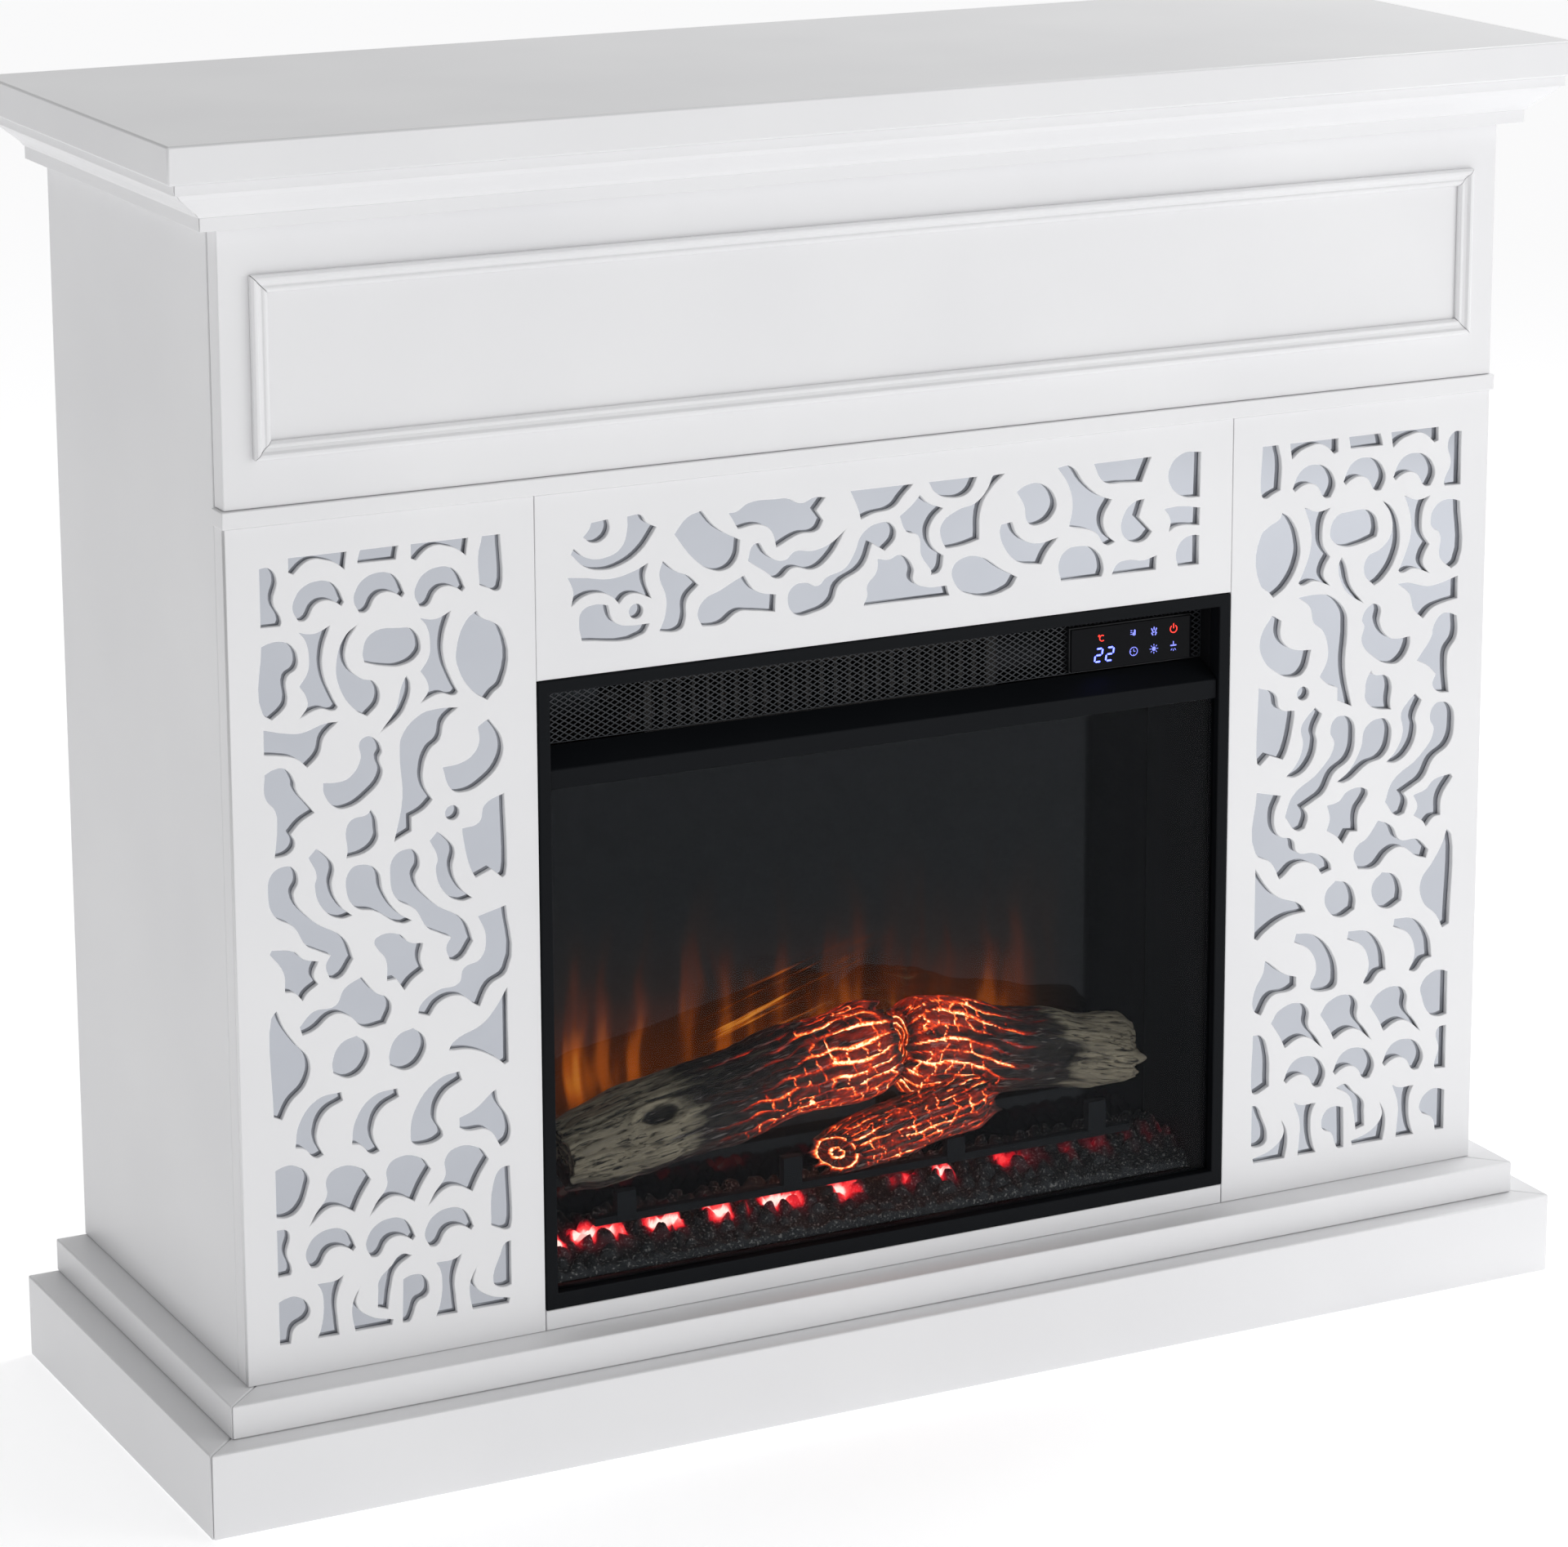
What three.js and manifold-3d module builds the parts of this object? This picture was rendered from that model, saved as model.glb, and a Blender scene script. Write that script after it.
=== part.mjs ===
// White mantel surround with a 23-inch electric fireplace insert.
// Millimetres. X runs along the mantel, Y from the front to the wall, Z up.
// The origin is on the floor, under the middle of the footprint.
import * as THREE from "three";
import { mergeVertices } from "three/addons/utils/BufferGeometryUtils.js";
import Module from "manifold-3d";

const wasm = await Module();
wasm.setup();

// ---------------------------------------------------------------- driving dimensions
const GAP = 0.3; // clearance between pieces that touch
const DEPTH = 404; // overall, from the plinth's front to the wall
const HEIGHT = 1015; // overall
const BODY_WIDTH = 1068;
const BOARD = 18; // frieze, side panels and uprights
const PLINTH = { height: 66, board: 30, ledgeSide: 24, ledgeFront: 19 };
const STEP = { height: 26.5, board: 36, ledgeSide: 24, ledgeFront: 28 };
const TOP = { thickness: 27.5, overSide: 47, overFront: 37 };
const CROWN = { height: 37.5, band: 10, slope: 19.5, bandOut: 0.36, slopeOut: 0.83, filletOut: 0.88 };
const BELT = { height: 13, proud: 2.5 };
const FRET = { thickness: 5, mirror: 3, fascia: 15, rim: 9 };
const HEADER_HEIGHT = 139; // fretwork over the insert
const TRIM = { inset: 23, margin: 35, width: 13, proud: 6 };
const INSERT = { width: 592, height: 487.5, sill: 16 };
const BEZEL = { side: 10, bottom: 12.5, depth: 14, proud: 1 };
const HOOD = { ledgeBelowTop: 56, lipBelowTop: 69, band: 15, set: 25 };
const CONTROL = { width: 110.3, height: 36, fromRight: 21, belowTop: 55 };
const CASE = { sheet: 1.2, sideInset: 9, depth: 204 };
const GLASS = { thickness: 4 };
const SCREEN = { thickness: 3, setBack: 103, belowLip: 20 };
const BLOWER = {
  radius: 23, blades: 18, bladeSheet: 1, bladeDepth: 7, bladePitch: 0.6, bladeSet: 4.6,
  shaft: 4, fromLeft: 97, endRoom: 177, behindFront: 76, belowTop: 42,
};
const ROTOR = { radius: 26, endRoom: 104, flags: 14, shaft: 3.5, behindScreen: 52, aboveFloor: 70 };
const ROCKER = { width: 12, height: 19, travelClearance: 0.8, tilt: 0.14, fromRight: 82, belowTop: 45 };
const GLAND = { neck: 6.2, flange: 11, bore: 4.2, fromLeft: 57, aboveFloor: 30 };

// ---------------------------------------------------------------- derived places
const WALL_Y = DEPTH / 2;
const FRONT_Y = -DEPTH / 2;
const STEP_Y = FRONT_Y + PLINTH.ledgeFront;
const BODY_Y = STEP_Y + STEP.ledgeFront;
const TOP_Y = BODY_Y - TOP.overFront;
const BODY_X = BODY_WIDTH / 2;
const STEP_X = BODY_X + STEP.ledgeSide;
const PLINTH_X = STEP_X + PLINTH.ledgeSide;
const TOP_X = BODY_X + TOP.overSide;
const BODY_BOTTOM = PLINTH.height + STEP.height;
const TOP_BOTTOM = HEIGHT - TOP.thickness;
const BODY_TOP = TOP_BOTTOM - CROWN.height;
const INSERT_X = INSERT.width / 2;
const INSERT_BOTTOM = BODY_BOTTOM + INSERT.sill;
const INSERT_TOP = INSERT_BOTTOM + INSERT.height;
const BELT_BOTTOM = INSERT_TOP + HEADER_HEIGHT;
const BELT_TOP = BELT_BOTTOM + BELT.height;
const FASCIA_BACK = BODY_Y + FRET.thickness + FRET.fascia + GAP;
const CASE_X = INSERT_X - CASE.sideInset;
const CASE_FRONT = BODY_Y + BEZEL.depth + GAP;
const CASE_BACK = CASE_FRONT + CASE.depth;
const CASE_FLOOR = INSERT_BOTTOM + 4;
const CASE_TOP = INSERT_TOP - 6;
const LEDGE_Z = INSERT_TOP - HOOD.ledgeBelowTop;
const LIP_Z = INSERT_TOP - HOOD.lipBelowTop;
const GLASS_TOP = LIP_Z - HOOD.band - GAP;
const SCREEN_Y = BODY_Y + SCREEN.setBack;
const BLOWER_LENGTH = 2 * CASE_X - BLOWER.fromLeft - BLOWER.endRoom;
const UPRIGHT_X = INSERT_X + 8;
const TRIM_X = BODY_X - TRIM.inset;
const CONTROL_X = [INSERT_X - CONTROL.fromRight - CONTROL.width, INSERT_X - CONTROL.fromRight];
const CONTROL_Z = [INSERT_TOP - CONTROL.belowTop, INSERT_TOP - CONTROL.belowTop + CONTROL.height];
const ROCKER_X = CASE_X - ROCKER.fromRight;
const ROCKER_Z = CASE_TOP - ROCKER.belowTop;
const PIVOT_Y = CASE_BACK + GAP + CASE.sheet + 1;
const CORD_X = -CASE_X + GLAND.fromLeft;
const CORD_Z = CASE_FLOOR + GLAND.aboveFloor;

// ---------------------------------------------------------------- finishes
const finish = (color, roughness, metalness = 0) =>
  new THREE.MeshStandardMaterial({ color, roughness, metalness });
const WHITE_PAINT = finish(0xe2e2e6, 0.45);
const RAW_BOARD = finish(0xb79a72, 0.8);
const MIRROR = finish(0xc3cad6, 0.05, 1);
const BLACK_STEEL = finish(0x17191d, 0.45, 0.6);
const GREY_STEEL = finish(0x8d9094, 0.4, 0.8);
const SMOKED_GLASS = finish(0x202224, 0.05);
const BLACK_PLASTIC = finish(0x121316, 0.5);
const RESIN_LOG = finish(0x8a7f73, 0.85);
const RESIN_EMBER = finish(0x2a2422, 0.7);
const BOARD_GREEN = finish(0x1f4a33, 0.5);
const ALUMINIUM = finish(0xb9bcc0, 0.35, 0.9);

// ---------------------------------------------------------------- shape helpers
const fireplace = new THREE.Group();

function add(name, geometry, material) {
  const mesh = new THREE.Mesh(geometry, material);
  mesh.name = name;
  fireplace.add(mesh);
  return mesh;
}

function block(x, y, z) {
  const geometry = new THREE.BoxGeometry(x[1] - x[0], y[1] - y[0], z[1] - z[0]);
  return geometry.translate((x[0] + x[1]) / 2, (y[0] + y[1]) / 2, (z[0] + z[1]) / 2);
}

// A flat outline in X and Z, given thickness from its back face towards the front.
function sheet(outline, backY, thickness) {
  const shape = new THREE.Shape(outline.map(([x, z]) => new THREE.Vector2(x, z)));
  const geometry = new THREE.ExtrudeGeometry(shape, { depth: thickness, bevelEnabled: false });
  return geometry.rotateX(Math.PI / 2).translate(0, backY, 0);
}

// An outline in X and Y, given height.
function prism(outline, bottom, top) {
  const shape = new THREE.Shape(outline.map(([x, y]) => new THREE.Vector2(x, y)));
  const geometry = new THREE.ExtrudeGeometry(shape, { depth: top - bottom, bevelEnabled: false });
  return geometry.translate(0, 0, bottom);
}

// A flat outline with openings cut right through it.
function plate(outline, holes, backY, thickness) {
  const punches = holes.map((hole) => sheet(hole, backY + 1, thickness + 2));
  return cut(sheet(outline, backY, thickness), ...punches);
}

// An outline in Y and Z, carried along X.
function bar(outline, x) {
  const shape = new THREE.Shape(outline.map(([y, z]) => new THREE.Vector2(y, z)));
  const geometry = new THREE.ExtrudeGeometry(shape, { depth: x[1] - x[0], bevelEnabled: false });
  return geometry.rotateX(Math.PI / 2).rotateZ(Math.PI / 2).translate(x[0], 0, 0);
}

// A stick of moulding: each profile point (out, up) is placed at both ends by a function,
// so that the ends can be mitred.
function moulding(profile, place) {
  const shape = new THREE.Shape(profile.map(([out, up]) => new THREE.Vector2(out, up)));
  const geometry = new THREE.ExtrudeGeometry(shape, { depth: 1, bevelEnabled: false });
  const points = geometry.getAttribute("position");
  for (let i = 0; i < points.count; i += 1) {
    const [x, y, z] = place(points.getX(i), points.getY(i), points.getZ(i));
    points.setXYZ(i, x, y, z);
  }
  return facingOut(geometry);
}

// Placing a section can mirror it, so the triangles are turned round if they enclose less than nothing.
function facingOut(geometry) {
  const points = geometry.getAttribute("position");
  const corner = [new THREE.Vector3(), new THREE.Vector3(), new THREE.Vector3()];
  let volume = 0;
  for (let i = 0; i < points.count; i += 3) {
    corner.forEach((vector, k) => vector.fromBufferAttribute(points, i + k));
    volume += corner[0].dot(corner[1].clone().cross(corner[2])) / 6;
  }
  if (volume > 0) {
    return geometry;
  }
  for (let i = 0; i < points.count; i += 3) {
    corner.forEach((vector, k) => vector.fromBufferAttribute(points, i + k));
    points.setXYZ(i + 1, ...corner[2].toArray());
    points.setXYZ(i + 2, ...corner[1].toArray());
  }
  return geometry;
}

function turnedAlongX(profile, segments, x, y, z) {
  const points = profile.map(([radius, along]) => new THREE.Vector2(radius, along));
  return new THREE.LatheGeometry(points, segments).rotateZ(-Math.PI / 2).translate(x, y, z);
}

function rodAlongX(radius, x, y, z, segments = 16) {
  const profile = [[0, 0], [radius, 0], [radius, x[1] - x[0]], [0, x[1] - x[0]]];
  return turnedAlongX(profile, segments, x[0], y, z);
}

const rectangle = (x0, x1, z0, z1) => [[x0, z0], [x1, z0], [x1, z1], [x0, z1]];

function circle(x, z, radius, count = 10) {
  const points = [];
  for (let i = 0; i < count; i += 1) {
    const turn = (2 * Math.PI * i) / count;
    points.push([x + radius * Math.cos(turn), z + radius * Math.sin(turn)]);
  }
  return points;
}

function toSolid(geometry) {
  const bare = geometry.clone();
  bare.deleteAttribute("normal");
  bare.deleteAttribute("uv");
  const merged = mergeVertices(bare, 1e-4);
  return new wasm.Manifold(new wasm.Mesh({
    numProp: 3,
    vertProperties: new Float32Array(merged.getAttribute("position").array),
    triVerts: new Uint32Array(merged.getIndex().array),
  }));
}

function toGeometry(solid) {
  const mesh = solid.getMesh();
  const geometry = new THREE.BufferGeometry();
  geometry.setAttribute("position", new THREE.BufferAttribute(mesh.vertProperties, 3));
  geometry.setIndex(new THREE.BufferAttribute(mesh.triVerts, 1));
  return geometry;
}

const join = (first, ...rest) =>
  toGeometry(rest.reduce((solid, piece) => solid.add(toSolid(piece)), toSolid(first)));
const cut = (first, ...rest) =>
  toGeometry(rest.reduce((solid, piece) => solid.subtract(toSolid(piece)), toSolid(first)));

const SIDES = [["left", -1], ["right", 1]];
const ordered = (a, b) => (a < b ? [a, b] : [b, a]);

// ---------------------------------------------------------------- mantel surround
// Mitred boards on three sides: a front board between two that run back to the wall.
function plinthAndStep() {
  const layers = [
    ["plinth", PLINTH_X, FRONT_Y, PLINTH.board, 0, PLINTH.height],
    ["base_step", STEP_X, STEP_Y, STEP.board, PLINTH.height + GAP, BODY_BOTTOM - GAP],
  ];
  for (const [name, outer, front, board, bottom, top] of layers) {
    const inner = outer - board;
    const back = front + board;
    add(`${name}_front`, prism([
      [-outer + GAP, front], [outer - GAP, front], [inner - GAP, back], [-inner + GAP, back],
    ], bottom, top), WHITE_PAINT);
    for (const [side, sign] of SIDES) {
      add(`${name}_${side}`, prism([
        [sign * outer, front + GAP], [sign * outer, WALL_Y],
        [sign * inner, WALL_Y], [sign * inner, back + GAP],
      ], bottom, top), WHITE_PAINT);
    }
  }
  const shelfX = STEP_X - STEP.board - GAP;
  add("base_shelf", block([-shelfX, shelfX], [STEP_Y + STEP.board + GAP, WALL_Y],
    [BODY_BOTTOM - BOARD, BODY_BOTTOM - GAP]), RAW_BOARD);
}

function mantelTop() {
  add("mantel_top", block([-TOP_X, TOP_X], [TOP_Y, WALL_Y], [TOP_BOTTOM, HEIGHT]), WHITE_PAINT);
}

// The crown's section: a flat band, a sloped ogee and a fillet under the mantel top.
// `out` is a share of the top's overhang, which is larger at the sides than at the front.
function crown() {
  const bandTop = BODY_TOP + CROWN.band;
  const slopeTop = bandTop + CROWN.slope;
  const ogee = new THREE.CubicBezierCurve(
    new THREE.Vector2(CROWN.bandOut + 0.02, bandTop),
    new THREE.Vector2(CROWN.bandOut + 0.06, bandTop + 5),
    new THREE.Vector2(CROWN.slopeOut - 0.06, slopeTop - 6),
    new THREE.Vector2(CROWN.slopeOut, slopeTop));
  const section = [[0.01, BODY_TOP], [CROWN.bandOut, BODY_TOP], [CROWN.bandOut, bandTop]];
  for (const point of ogee.getPoints(5)) {
    section.push([point.x, point.y]);
  }
  section.push([CROWN.filletOut, slopeTop], [CROWN.filletOut, TOP_BOTTOM - GAP], [0.01, TOP_BOTTOM - GAP]);
  add("crown_front", moulding(section, (out, up, end) => [
    (end ? 1 : -1) * (BODY_X + out * TOP.overSide - GAP), BODY_Y - out * TOP.overFront, up,
  ]), WHITE_PAINT);
  for (const [side, sign] of SIDES) {
    const stick = moulding(section, (out, up, end) => [
      sign * (BODY_X + out * TOP.overSide),
      (end ? 1 : 0) === (sign > 0 ? 1 : 0) ? WALL_Y : BODY_Y - out * TOP.overFront + GAP, up,
    ]);
    add(`crown_${side}`, stick, WHITE_PAINT);
  }
}

function bodyBoards() {
  add("frieze_board", block([-BODY_X, BODY_X], [BODY_Y, BODY_Y + BOARD],
    [BELT_TOP + GAP, TOP_BOTTOM - GAP]), WHITE_PAINT);
  add("belt_rail", block([-BODY_X - BELT.proud, BODY_X + BELT.proud], [BODY_Y - BELT.proud, BODY_Y + BOARD],
    [BELT_BOTTOM + GAP, BELT_TOP]), WHITE_PAINT);
  add("bottom_rail", block([-INSERT_X + GAP, INSERT_X - GAP], [BODY_Y, CASE_BACK],
    [BODY_BOTTOM, INSERT_BOTTOM - GAP]), WHITE_PAINT);
  const panelFront = FASCIA_BACK + GAP;
  for (const [side, sign] of SIDES) {
    add(`side_panel_${side}`, block(ordered(sign * (BODY_X - BOARD), sign * BODY_X), [panelFront, WALL_Y],
      [BODY_BOTTOM, TOP_BOTTOM - GAP]), WHITE_PAINT);
    add(`upright_${side}`, block(ordered(sign * UPRIGHT_X, sign * (UPRIGHT_X + BOARD)), [panelFront, WALL_Y],
      [BODY_BOTTOM, INSERT_TOP + BOARD]), RAW_BOARD);
  }
  add("back_rail", block([-BODY_X + BOARD + GAP, BODY_X - BOARD - GAP], [WALL_Y - BOARD, WALL_Y],
    [TOP_BOTTOM - 80, TOP_BOTTOM - GAP]), RAW_BOARD);
}

// Four mitred sticks of an ogee moulding that frame the frieze.
function friezeTrim() {
  const section = [
    [0, GAP], [0, 4.5], [2, 6], [4, 6], [5.5, 4.2], [8, 3.4], [9.5, 4.4], [11, 4.4],
    [TRIM.width, 2.6], [TRIM.width, GAP],
  ].map(([across, proud]) => [across * (TRIM.width / 13), proud * (TRIM.proud / 6)]);
  const middle = (BELT_TOP + BODY_TOP) / 2;
  const half = (BODY_TOP - BELT_TOP) / 2 - TRIM.margin;
  for (const [name, sign] of [["top", 1], ["bottom", -1]]) {
    add(`frieze_trim_${name}`, moulding(section, (across, proud, end) => [
      (end ? -sign : sign) * (TRIM_X - across - GAP), BODY_Y - proud, middle + sign * (half - across),
    ]), WHITE_PAINT);
  }
  for (const [name, sign] of SIDES) {
    add(`frieze_trim_${name}`, moulding(section, (across, proud, end) => [
      sign * (TRIM_X - across), BODY_Y - proud, middle + (end ? sign : -sign) * (half - across - GAP),
    ]), WHITE_PAINT);
  }
}

// ---------------------------------------------------------------- fretwork
// Openings are drawn at the size they have on the standard mantel, as points from its
// centre line and the floor, and are stretched to the field of the panel that is made.
const SIDE_FIELD = { left: -508.5, right: -323, bottom: 120.5, top: 709.5 };
const HEADER_FIELD = { left: -270, right: 267, bottom: 622, top: 712 };
const SIDE_MARGIN = { outer: 25.5, inner: 27, bottom: 28, top: 25.5 };
const HEADER_MARGIN = { outer: 26, inner: 29, bottom: 26, top: 23 };

const SIDE_OPENINGS = [
  { at: [[0, 0]], points: [[-508.5, 704], [-502, 704], [-496, 696], [-499, 679], [-493, 664], [-494, 661],
    [-508.5, 661]] },
  { at: [[0, 0], [94, 0]], points: [[-486.5, 709.5], [-442, 709.5], [-444, 697], [-451, 702.5],
    [-459, 705.5], [-468, 707], [-475, 704.5], [-483, 697.5], [-486.5, 699]] },
  { at: [[0, 0]], points: [[-431.5, 709.5], [-402.5, 709.5], [-404.5, 700], [-434, 700], [-433, 705]] },
  { at: [[0, 0]], points: [[-337, 709.5], [-323, 709.5], [-323, 670], [-326, 668], [-333, 671],
    [-339.5, 673.5], [-340, 697], [-338, 705]] },
  { at: [[0, 0], [46.7, 1], [93.7, 0], [-2.5, -487], [44.9, -487], [91.7, -487]],
    points: [[-465, 690.5], [-456, 689], [-450, 684], [-445, 673], [-447, 670.5], [-452, 674], [-460, 676],
      [-467, 673.5], [-475, 663], [-480, 663], [-484, 672], [-482, 680], [-476, 687]] },
  { at: [[0, 0]], points: [[-508.5, 647], [-503, 649], [-492, 649], [-485, 644.5], [-481.5, 637],
    [-482.5, 629], [-490, 623], [-490.5, 604], [-493, 600], [-502, 593], [-508.5, 598]] },
  { at: [[0, 0], [93.5, 0]], points: [[-480, 654.5], [-473, 652.5], [-466.5, 652.5], [-456, 657],
    [-462, 640], [-462.5, 624], [-456, 605], [-451.7, 596.5], [-454, 594.5], [-465.5, 597], [-480.5, 591.7],
    [-474.5, 600], [-475.5, 607], [-480.3, 615], [-474, 624], [-472.5, 633], [-475, 648]] },
  { at: [[0, 0]], points: [[-435.3, 655], [-444, 648.5], [-451.7, 629], [-449.3, 609.5], [-437.3, 592],
    [-429, 587], [-419.6, 597.6], [-422.7, 611], [-433.3, 615.3], [-444, 627], [-443.5, 642.7]] },
  { at: [[0, 0]], points: [[-402.5, 649], [-425.3, 646.7], [-431.3, 633.3], [-430, 626.7], [-416, 622.7],
    [-400, 621.7], [-388.7, 628], [-386.7, 634], [-392.7, 646.7]] },
  { at: [[0, 0]], points: [[-398, 613], [-395.3, 606.7], [-400, 589.3], [-405.3, 582.7], [-418.7, 574],
    [-406.7, 589.3], [-401.5, 606.7]] },
  { at: [[0, 0]], points: [[-342, 655], [-350, 649], [-358.5, 628], [-358, 616], [-347, 596], [-335, 587.5],
    [-331, 592], [-323, 599], [-323, 639], [-330, 645], [-340, 650.5]] },
  { at: [[0, 0]], points: [[-508.5, 586], [-490.5, 581.3], [-480, 580.4], [-461.3, 585.3], [-451.7, 585.5],
    [-462.7, 576], [-467, 563.3], [-476, 554.7], [-484, 562], [-497.3, 566], [-508.5, 567.6]] },
  { at: [[0, 0]], points: [[-426.7, 571.3], [-418.4, 560], [-420.7, 554.7], [-418.4, 542.7], [-430.7, 528],
    [-446.7, 520.7], [-454.7, 522], [-463.5, 533.5], [-464, 541.3], [-453, 540.5], [-444, 542.7],
    [-434.7, 556], [-435.3, 568], [-430.7, 571.5]] },
  { at: [[0, 0]], points: [[-358.4, 584.7], [-376, 585.3], [-388, 582.7], [-402.7, 568], [-404.3, 557.3],
    [-403, 522], [-410, 490.5], [-396.7, 496.7], [-396.7, 507.3], [-386.7, 511.7], [-379.7, 518],
    [-386, 529.3], [-387, 540], [-381.3, 556], [-373.3, 562.7], [-369.3, 576]] },
  { at: [[0, 0]], points: [[-334, 572.7], [-324, 556], [-325.5, 541], [-340, 526], [-354.7, 520.7],
    [-364, 523.3], [-371, 541], [-356, 542.7], [-346.7, 548], [-342, 556], [-342.7, 568], [-336, 572]] },
  { at: [[0, 0]], points: [[-508.5, 553], [-502, 556], [-494, 556], [-486, 545], [-485.5, 540], [-475, 525],
    [-471.5, 520.5], [-482, 515], [-490, 507], [-487, 499], [-491.5, 492.8], [-502.5, 490.7], [-500, 513],
    [-501, 525], [-508.5, 536]] },
  { at: [[0, 0]], points: [[-428, 517], [-424, 510], [-423, 501], [-423, 495], [-430, 487], [-447.5, 483],
    [-446.5, 488], [-447, 505], [-443, 511], [-430, 514]] },
  { at: [[0, 0]], points: circle(-364.3, 506.2, 5.5) },
  { at: [[0, 0]], points: [[-323, 515.5], [-338.5, 508.5], [-343, 496], [-356.5, 493], [-356, 487],
    [-350, 461], [-346.5, 454.5], [-334, 459.5], [-325.5, 452], [-323, 454]] },
  { at: [[0, 0], [94.4, 0]], points: [[-470.7, 493.3], [-463.3, 486.7], [-457.7, 478.4], [-459.7, 464],
    [-453.3, 448], [-444.4, 439.7], [-453.3, 438.7], [-466.7, 448], [-472.3, 465.3], [-470.7, 473.3],
    [-476.7, 487.3]] },
  { at: [[0, 0], [94.5, 0]], points: [[-496, 483.3], [-489.3, 481.6], [-485.3, 471.3], [-489.3, 461.3],
    [-476, 440.7], [-450.7, 422.7], [-444.3, 406.7], [-456, 393.7], [-462.7, 395], [-465.3, 404.7],
    [-461.3, 412], [-472, 417.3], [-480, 422], [-489.3, 437.3], [-504.3, 448], [-508.3, 465.3],
    [-505.3, 478.7]] },
  { at: [[0, 0]], points: [[-437.3, 476.7], [-424, 470.7], [-420, 454.7], [-408, 436], [-398, 429.3],
    [-404.7, 428], [-426.7, 440.7], [-441.3, 445.3], [-448, 458.7], [-445.3, 473.3]] },
  { at: [[0, 0]], points: [[-506.7, 422], [-490, 418.7], [-482.7, 412], [-471.3, 408.7], [-475.3, 398.7],
    [-472, 391.7], [-481.3, 385.3], [-484, 381], [-490.7, 388], [-497.3, 389], [-498, 404],
    [-508.3, 419.3]] },
  { at: [[0, 0]], points: [[-425.3, 420], [-408, 420], [-400, 412.7], [-389.3, 410.7], [-392, 399.3],
    [-389.3, 390], [-398.7, 384], [-404.7, 377.3], [-410.7, 386.7], [-418, 386], [-418.7, 402.7],
    [-425.3, 412], [-427.3, 416.7]] },
  { at: [[0, 0]], points: [[-323, 430], [-345.3, 424.7], [-339.3, 409.3], [-344, 392], [-357.3, 386.7],
    [-361.3, 376], [-378.7, 372.7], [-392.7, 362.7], [-394, 357.3], [-385.3, 354.7], [-377.3, 364],
    [-361.3, 366.7], [-348, 357.3], [-345.3, 356], [-337.3, 370.7], [-323, 380]] },
  { at: [[0, 0]], points: [[-438, 392], [-426.7, 378], [-419.3, 374], [-415.3, 366.7], [-420, 354],
    [-436, 353.3], [-449.3, 364.7], [-460, 367.3], [-476, 357.3], [-484.7, 354.7], [-486.7, 361.3],
    [-476, 371.3], [-458.7, 373.3], [-451.3, 385.3]] },
  { at: [[0, 0]], points: [[-504.3, 376], [-508.5, 370.7], [-508.5, 296], [-502.4, 293.3], [-496, 305],
    [-483, 318], [-480.3, 335], [-490.7, 349.3], [-500, 364]] },
  { at: [[0, 0], [44.5, -1]], points: [[-462, 331], [-455, 344], [-443, 348], [-434, 339], [-435.5, 326],
    [-448, 317], [-461.5, 322]] },
  { at: [[0, 0]], points: [[-323, 367], [-333, 352], [-343, 342], [-367, 331], [-370.5, 325.5],
    [-352, 323.5], [-333, 314], [-326, 308], [-323, 309.5]] },
  { at: [[0, 0], [44, -4.3]], points: [[-456, 307.1], [-454.9, 300.7], [-469, 293.6], [-475.7, 280.7],
    [-475.7, 272], [-471, 261.4], [-476.7, 260], [-486, 268.6], [-492.4, 270], [-489, 288],
    [-474.6, 304.3]] },
  { at: [[0, 0]], points: [[-362.4, 308], [-360.6, 301.4], [-376, 292], [-382, 275], [-376.7, 261.4],
    [-378, 259.3], [-391.7, 256], [-400.3, 258.6], [-402, 264], [-396, 288], [-378, 305]] },
  { at: [[0, 0]], points: [[-333.4, 289.3], [-332, 280], [-323.9, 265], [-323.9, 249.3], [-330.3, 244.7],
    [-340.3, 259.3], [-357.4, 261.4], [-363, 264.3], [-363, 272], [-351.7, 276], [-336, 288]] },
  { at: [[0, 0]], points: [[-508.5, 255], [-503, 257], [-494.6, 257], [-483, 246.4], [-484, 238],
    [-491.7, 222], [-500.3, 218], [-508.5, 219]] },
  { at: [[0, 0], [47.5, 0], [94, 0]], points: [[-461.7, 249], [-441.7, 246], [-434.3, 236.4],
    [-442.4, 224.3], [-447.7, 213.6], [-459, 219.6], [-467.4, 220], [-483, 208.6], [-478, 217],
    [-469, 229.3], [-469, 242]] },
  { at: [[0, 0]], points: [[-323.5, 228.5], [-331, 227], [-337, 215], [-339, 184], [-333, 181],
    [-326, 179], [-323.5, 180.5]] },
  { at: [[0, 0]], points: [[-508.5, 209.3], [-501, 208], [-499, 203.6], [-501.7, 190.7], [-498, 176.4],
    [-499, 173.6], [-508.5, 173]] },
  { at: [[0, 0]], points: [[-508.5, 153.6], [-503, 155.7], [-494.6, 155.7], [-484.6, 145], [-486, 138.6],
    [-497.4, 131.4], [-500.3, 120.5], [-508.5, 120.5]] },
  { at: [[0, 0], [94.3, 0]], points: [[-478, 162.5], [-463, 163], [-457.5, 166], [-463.5, 149],
    [-463, 131], [-462, 120.5], [-479, 120.5], [-476, 127.5], [-473.5, 148], [-475, 157]] },
  { at: [[0, 0], [94, 0]], points: [[-445.7, 153], [-448, 141.4], [-437.4, 130], [-419, 124.3],
    [-420, 120.5], [-449, 120.5], [-451.3, 135], [-450.3, 143.6]] },
  { at: [[0, 0]], points: [[-411.7, 174], [-419.6, 166.4], [-429.6, 156.4], [-430.3, 148], [-431, 135.7],
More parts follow.
